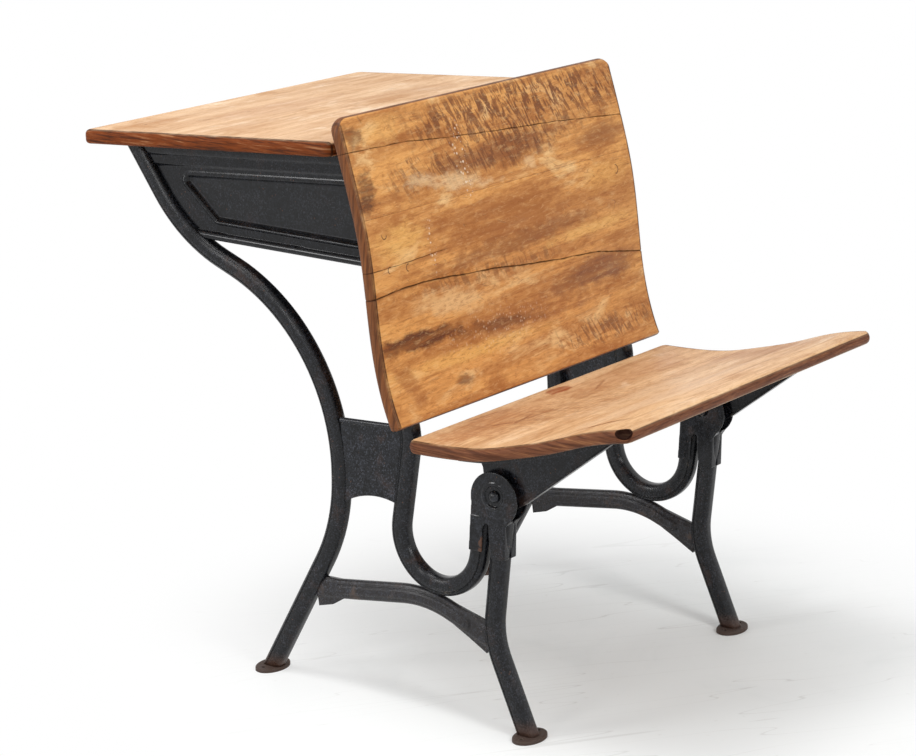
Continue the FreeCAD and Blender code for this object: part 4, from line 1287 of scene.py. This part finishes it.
@dataclass
class BoxSide:
    """Pressed side of the book box: rolled bands, a bead and a sunk field, in mm."""
    side: str
    sheet_x: float = 251.5
    wall: float = 1.2
    bottom: float = 578.0
    top: float = 722.0
    lid_gap: float = 0.6
    tube_gap: float = 0.3
    scan_x: float = 250.8
    scan_depth: float = 400.0
    scan_to: tuple[float, float] = (694.0, 695.0)
    upright_lean: float = 19.1
    band_out: float = 5.8
    rim: float = 17.0
    ledge: float = 28.0
    ledge_out: float = 2.4
    ledge_soft: float = 5.0
    foot: float = 9.0
    foot_gap: float = 0.2
    sunk: float = 4.0
    sunk_wall: tuple[float, float] = (-0.8, 3.8)
    field_drop: float = 43.0
    field_front: Triple = (561.0, 541.0, 511.0)
    field_back: tuple[float, float] = (278.0, 292.0)
    field_low: float = 605.5
    corner: float = 6.0
    bead: float = 3.0
    bead_half: float = 4.4
    bead_off: float = 3.4
    bead_least: float = 0.22
    bead_fade: tuple[float, float] = (40.0, 52.0)
    dent: float = 0.5
    dent_inside: tuple[float, float] = (6.0, 20.0)
    columns: int = 250
    rows: int = 170
    levels: int = 60
    rounds: int = 6

    def build(self, shop: PaintShop) -> None:
        """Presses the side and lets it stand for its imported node.

        Args:
            shop: where its material comes from.
        """
        y, z = self._grid()
        out = self._relief(y, z)
        way = -1.0 if self.side == "left" else 1.0
        outer, inner = way * (self.sheet_x + out), way * (self.sheet_x + np.minimum(out, 0.0) - self.wall)
        skins = [np.column_stack((x.ravel(), (y - DEPTH_SHIFT).ravel(), z.ravel())) for x in (outer, inner)]
        name = self.side + "_pressed_box_side"
        mesh = bpy.data.meshes.new(name)
        mesh.from_pydata((np.vstack(skins) * MM).tolist(), [], self._faces(y.size))
        mesh.shade_smooth()
        mesh.set_sharp_from_angle(angle=math.radians(60))
        mesh.normals_split_custom_set_from_vertices(self._normals(y, z, way))
        stand_in(name, mesh, shop.material(BOX_PAINT), self.side + "_box_side", "frame")

    def _faces(self, count: int) -> list[tuple[int, ...]]:
        """Faces of both skins and of the rim between them.

        Args:
            count: points in one skin.

        Returns:
            The faces.
        """
        across =self.columns + 1
        faces = []
        for a in (r * across + c for r in range(self.rows) for c in range(self.columns)):
            quad = (a, a + across, a + across + 1, a + 1)
            faces += [quad, tuple(count + k for k in reversed(quad))]
        loop = list(range(across)) + [r * across + self.columns for r in range(1, self.rows + 1)]
        loop += [self.rows * across + c for c in range(self.columns - 1, -1, -1)]
        loop += [r * across for r in range(self.rows - 1, 0, -1)]
        faces += [(a, b, count + b, count + a) for a, b in zip(loop, loop[1:] + loop[:1])]
        return [tuple(reversed(f)) for f in faces] if self.side == "right" else faces

    def _normals(self, y: np.ndarray, z: np.ndarray, way: float) -> list[list[float]]:
        """Normals of the relief's own slopes, so that a bead's gleam runs unbroken.

        Args:
            y: depths of the grid.
            z: heights of the grid.
            way: -1 on the left side, 1 on the right.

        Returns:
            A normal for each point, zero on the rim and inside, where the faces give it.
        """
        step = 0.25
        slope_y = (self._relief(y + step, z) - self._relief(y - step, z)) / (2 * step)
        slope_z = (self._relief(y, z + step) - self._relief(y, z - step)) / (2 * step)
        outer = np.stack((np.full(y.shape, way), -slope_y, -slope_z), axis=-1)
        outer /= np.linalg.norm(outer, axis=-1, keepdims=True)
        outer[0], outer[-1], outer[:, 0], outer[:, -1] = 0.0, 0.0, 0.0, 0.0
        return np.vstack((outer.reshape(-1, 3), np.zeros((y.size, 3)))).tolist()

    def _tube_line(self, node: str, way: float, to: float) -> tuple[list[float], list[float]]:
        """Where level lines from the box's middle meet a tube.

        Args:
            node: the tube.
            way: 1 to look towards the desk's far edge, -1 towards the back.
            to: height up to which the tube is looked for.

        Returns:
            Heights and depths.
        """
        tree, found = node_faces(node), ([], [])
        for height in np.linspace(self.bottom, self.top, self.levels):
            at = Vector((-self.scan_x * MM, (self.scan_depth - DEPTH_SHIFT) * MM, height * MM))
            hit = tree.ray_cast(at, Vector((0.0, way, 0.0)), 1.0)[0]
            if hit is not None and height < to:
                found[0].append(height)
                found[1].append(hit.y / MM + DEPTH_SHIFT)
        return found

    def _grid(self) -> tuple[np.ndarray, np.ndarray]:
        """Depths and heights of the side's points, from the upright to the desk leg."""
        heights, depths = self._tube_line("left_desk_leg", 1.0, self.scan_to[0])
        slope = (depths[-1] - depths[-2]) / (heights[-1] - heights[-2])
        up_heights, up_depths = self._tube_line("left_back_upright", -1.0, self.scan_to[1])
        up_slope = math.tan(math.radians(self.upright_lean))
        for hs, ds, rate in ((heights, depths, slope), (up_heights, up_depths, up_slope)):
            ds.append(ds[-1] + (self.top - hs[-1]) * rate)
            hs.append(self.top)
        u, v = np.meshgrid(np.linspace(0, 1, self.columns + 1), np.linspace(0, 1, self.rows + 1))
        foot = self.bottom + self.foot_gap
        first_height = 110.0
        z = self.bottom + v * first_height
        for _ in range(self.rounds):
            y0 = np.interp(z, up_heights, up_depths) + self.tube_gap
            y1 = np.interp(z, heights, depths) - self.tube_gap
            y = y0 + u * (y1 - y0)
            z = foot + v * (lid_under(y) - self.lid_gap - foot)
        return y, z

    def _outline(self) -> tuple[tuple[float, float], ...]:
        """Corners of the sunk field, drawn in by its corner's radius."""
        r = self.corner
        y0, y1, y2 = self.field_front
        y3, y4 = self.field_back
        low = self.field_low + r
        middle = (self.field_low + lid_under(y0) - self.field_drop) / 2 + 2.0
        return ((y0 - r * 0.6, lid_under(y0) - self.field_drop - r), (y1 - r, middle), (y2 - r * 0.5, low),
                (y3, low), (y4, lid_under(y4) - self.field_drop - r))

    def _relief(self, y: np.ndarray, z: np.ndarray) -> np.ndarray:
        """The pressing's form.

        Args:
            y: depths of the points.
            z: their heights.

        Returns:
            How far each stands out from the flat sheet.
        """
        drop, rise =lid_under(y) - z, z - self.bottom
        out = self.band_out * np.maximum(rolled(drop, self.rim), rolled(rise, self.foot))
        out = np.maximum(out, self.ledge_out * (1 - eased(drop, self.ledge, self.ledge + self.ledge_soft)))
        away = distance_to_outline(self._outline(), y, z) - self.corner
        dome = np.cos(np.clip((away - self.bead_off) / self.bead_half, -1.0, 1.0) * math.pi / 2) ** 2
        full = self.bead_least + (1 - self.bead_least) * eased(drop, *self.bead_fade)
        out = np.maximum(out, self.bead * dome * full) - self.sunk * eased(-away, *self.sunk_wall)
        places = zip(y.ravel(), z.ravel())
        dents = np.array([noise.noise(Vector((a * 0.02, b * 0.03, 4.0))) for a, b in places])
        return out + self.dent * dents.reshape(y.shape) * eased(-away, *self.dent_inside)


@dataclass
class HingePlate:
    """Stamping that clasps the front leg: rolled edges, a crowned head and a dimple, in mm."""
    side: str
    face: str
    voxel: float = 0.9
    passes: int = 6
    outer_x: float = 262.3
    head: tuple[float, float] = (55.4, 311.0)
    head_low: float = 285.0
    crown: float = 1.3
    crown_span: tuple[float, float] = (20.0, 36.0)
    low_share: float = 0.4
    bolt: tuple[float, float] = (54.4, 315.0)
    seat_radius: float = 14.6
    seat_soft: float = 2.0
    seat_x: float = 264.0
    ring: float = 16.5
    ring_half: float = 2.6
    ring_out: float = 0.8
    dimple: Triple = (41.0, 284.0, 8.0)
    dimple_deep: float = 1.5
    deepest: float = 2.0

    def build(self, shop: PaintShop) -> None:
        """Softens the plate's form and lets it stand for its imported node.

        Args:
            shop: where its material comes from.
        """
        node =f"{self.side}_hinge_{self.face}_plate"
        name = f"{self.side}_hinge_{self.face}_stamping"
        mesh = shaped_copy(name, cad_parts[node].data.copy(),
                           ("REMESH", {"mode": "VOXEL", "voxel_size": self.voxel * MM}),
                           ("SMOOTH", {"factor": 0.5, "iterations": self.passes}))
        if self.face == "outer":
            self._crown(mesh)
        mesh.shade_smooth()
        stand_in(name, mesh, shop.material(HINGE_PAINT), node, "frame")

    def _crown(self, mesh: bpy.types.Mesh) -> None:
        """Rounds the head down to its rim, lets the bolt's head in and presses the dimple.

        Args:
            mesh: the plate's mesh, which is changed.
        """
        co =np.empty(len(mesh.vertices) * 3)
        mesh.vertices.foreach_get("co", co)
        co = co.reshape(-1, 3)
        x, y, z = np.abs(co[:, 0]) / MM, co[:, 1] / MM + DEPTH_SHIFT, co[:, 2] / MM
        far, dip, bolt = (np.hypot(y - at[0], z - at[1]) for at in (self.head, self.dimple, self.bolt))
        inward = self.crown * np.where(z > self.head_low, eased(far, *self.crown_span), self.low_share)
        inward += self.dimple_deep * (1 - eased(dip, 1.0, self.dimple[2]))
        inward -= self.ring_out * np.clip(1 - ((bolt - self.ring) / self.ring_half) ** 2, 0, 1)
        seat = bolt < self.seat_radius
        under_bolt = self.deepest * (1 - eased(bolt, self.seat_radius - self.seat_soft, self.seat_radius))
        inward = np.where(seat, under_bolt, inward)
        level = np.where(seat, np.minimum(x, self.seat_x), x)
        formed = np.where(x > self.outer_x, level - np.minimum(inward, self.deepest), x)
        co[:, 0] = np.sign(co[:, 0]) * formed * MM
        mesh.vertices.foreach_set("co", co.ravel())


@dataclass
class DressedNodes:
    """CAD nodes that keep their shape and get a finish.

    Nodes are named without their left_ or right_ start where both sides have one.
    """
    finish: Finish
    pairs: tuple[str, ...] = ()
    singles: tuple[str, ...] = ()

    def dress(self, shop: PaintShop) -> None:
        """Gives every node the finish."""
        for name in [side + name for name in self.pairs for side in ("left_", "right_")] + list(self.singles):
            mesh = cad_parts[name].data
            mesh.materials.clear()
            mesh.materials.append(shop.material(self.finish))
            LOG.info("%s dressed in %s", name, self.finish.name)


DRESSED = (
    DressedNodes(TUBE_PAINT, ("desk_leg", "back_upright", "front_leg")),
    DressedNodes(STRETCHER_PAINT, ("stretcher",)),
    DressedNodes(PLATE_PAINT, ("web_plate", "back_clips")),
    DressedNodes(PIVOT_PAINT, ("pivot_bolt", "pivot_nut")),
    DressedNodes(ARM_PAINT, ("seat_arm",)),
    DressedNodes(FOOT_IRON, ("front_foot", "rear_foot")),
    DressedNodes(BOX_PAINT, (), ("book_box", "box_back_panel")),
    DressedNodes(SCREW_STEEL, (), ("seat_screws", "backrest_screws", "lid_leaf_screws", "box_leaf_screws")),
    DressedNodes(LEAF_STEEL, ("lid_hinge_fixed_leaf", "lid_hinge_moving_leaf", "lid_hinge_pin")),
    DressedNodes(LID_WOOD, (), ("desk_lid",)),
)


# ---------------------------------------------------------------- studio
@dataclass
class Viewpoint:
    """The camera: where it stands and how it looks, angles in degrees."""
    place: Triple = (-3.1646, -2.2456, 1.4431)
    yaw: float = 54.244
    down: float = 15.3815
    roll: float = 0.494
    lens: float = 116.89
    sensor: float = 36.0

    def build(self) -> None:
        """Makes the camera and sets it as the scene's own."""
        yaw, down, roll = map(math.radians, (self.yaw, self.down, self.roll))
        ahead = Vector((math.sin(yaw) * math.cos(down), math.cos(yaw) * math.cos(down), -math.sin(down)))
        right = Vector((math.cos(yaw), -math.sin(yaw), 0.0))
        up = right.cross(ahead)
        turned = right * math.cos(roll) + up * math.sin(roll)
        above = up * math.cos(roll) - right * math.sin(roll)
        data = bpy.data.cameras.new("camera")
        data.lens, data.sensor_width, data.sensor_fit = self.lens, self.sensor, "HORIZONTAL"
        data.clip_start, data.clip_end = 0.1, 60.0
        camera = bpy.data.objects.new("camera", data)
        turn = Matrix((turned, above, -ahead)).transposed().to_4x4()
        camera.matrix_world = Matrix.Translation(Vector(self.place)) @ turn
        bpy.context.scene.collection.objects.link(camera)
        bpy.context.scene.camera = camera


@dataclass
class SoftLamp:
    """A square soft box that looks at a point."""
    name: str
    place: Triple
    size: float
    watts: float
    target: Triple = (0.0, 0.0, 0.4)

    def build(self) -> None:
        """Hangs the lamp."""
        data = bpy.data.lights.new(self.name, "AREA")
        data.shape, data.size, data.energy = "SQUARE", self.size, self.watts
        lamp = bpy.data.objects.new(self.name, data)
        lamp.location = self.place
        way = Vector(self.target) - Vector(self.place)
        lamp.rotation_euler = way.to_track_quat("-Z", "Y").to_euler()
        bpy.context.scene.collection.objects.link(lamp)


@dataclass
class Studio:
    """Pale floor, white surroundings and plain soft light."""
    floor_half: float = 30.0
    floor_tone: Colour = tone(246, 248, 247)
    smear_tone: Colour = tone(226, 230, 229)
    grime_tone: Colour = tone(200, 198, 192)
    scrape_tone: Colour = tone(150, 146, 138)
    floor_rough: float = 0.6
    world_light: float = 0.5
    shade_middle: Triple = (0.08, -0.2, 0.0)
    white_from: float = 0.15
    white_to: float = 0.75
    least_white: float = 0.05
    lamps: tuple[SoftLamp, ...] = (
        SoftLamp("top_box", (-0.7, 0.5, 3.1), 1.2, 44.0),
        SoftLamp("left_box", (-2.8, 1.9, 1.5), 0.9, 28.0),
        SoftLamp("side_box", (-3.3, 0.3, 1.6), 0.7, 12.0),
        SoftLamp("front_box", (-0.9, -3.4, 2.3), 1.0, 54.0),
    )

    def build(self) -> None:
        """Builds floor, world and lamps, and sets plain colour: each tone shows as it is written."""
        self._lay_floor()
        self._surround()
        for lamp in self.lamps:
            lamp.build()
        bpy.context.scene.view_settings.view_transform = "Standard"

    def _lay_floor(self) -> None:
        """A big pale floor that keeps the shadow and turns plain white further off."""
        half = self.floor_half
        corners = [(x * half, y * half, 0) for x, y in ((-1, -1), (1, -1), (1, 1), (-1, 1))]
        mesh = bpy.data.meshes.new("floor")
        mesh.from_pydata(corners, [], [(0, 1, 2, 3)])
        floor = bpy.data.objects.new("floor", mesh)
        bpy.context.scene.collection.objects.link(floor)
        made, pen, shader = new_material("studio_floor")
        place = pen.put("TexCoord")["Object"]
        smear = place.noise(5.0, 5.0, 0.62, 0.5).span(0.5, 0.72)
        grime = place.noise(60.0, 4.0, 0.6).span(0.64, 0.78)
        scrape = abs((place.turned(0.6) * (1.5, 22.0, 1.0)).noise(1.0, 1.0) - 0.5).span(0.004, 0.0)
        colour = pen.mix(smear * 0.3, self.floor_tone, self.smear_tone)
        colour = pen.mix(grime * 0.3, colour, self.grime_tone)
        colour = pen.mix(scrape * 0.24, colour, self.scrape_tone)
        pen.fill(shader, {"Base Color": colour, "Roughness": self.floor_rough})
        far = ((place - self.shade_middle) * (1.0, 1.0, 0.0)).length()
        white_share = pen.seen() * far.span(self.white_from, self.white_to, self.least_white, 1.0)
        white = pen.put("Emission", {0: WHITE, 1: 1.0})[0]
        mixed = pen.put("MixShader", {0: white_share, 1: Results(pen, shader)[0], 2: white})[0]
        output = next(n for n in pen.tree.nodes if n.type == "OUTPUT_MATERIAL")
        pen.fill(output, {"Surface": mixed})
        mesh.materials.append(made)

    def _surround(self) -> None:
        """World: soft white light, and plain white where it is seen or mirrored."""
        world = bpy.data.worlds.new("surround")
        world.use_nodes = True
        world.node_tree.nodes.clear()
        bpy.context.scene.world = world
        pen = Pen(world.node_tree)
        light, white = (pen.put("Background", {0: WHITE, 1: power})[0] for power in (self.world_light, 1.0))
        pen.put("OutputWorld", {0: pen.put("MixShader", {0: pen.seen(), 1: light, 2: white})[0]})


def main() -> None:
    """Builds the scene from its parts, in order."""
    logging.basicConfig(level=logging.INFO, format="%(name)s: %(message)s")
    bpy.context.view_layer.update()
    shop = PaintShop()
    Viewpoint().build()
    for board in make_boards():
        board.build(shop)
    for side in ("left", "right"):
        BoxSide(side).build(shop)
        for face in ("outer", "inner"):
            HingePlate(side, face).build(shop)
    for group in DRESSED:
        group.dress(shop)
    Studio().build()


if __name__ == "__main__":
    main()
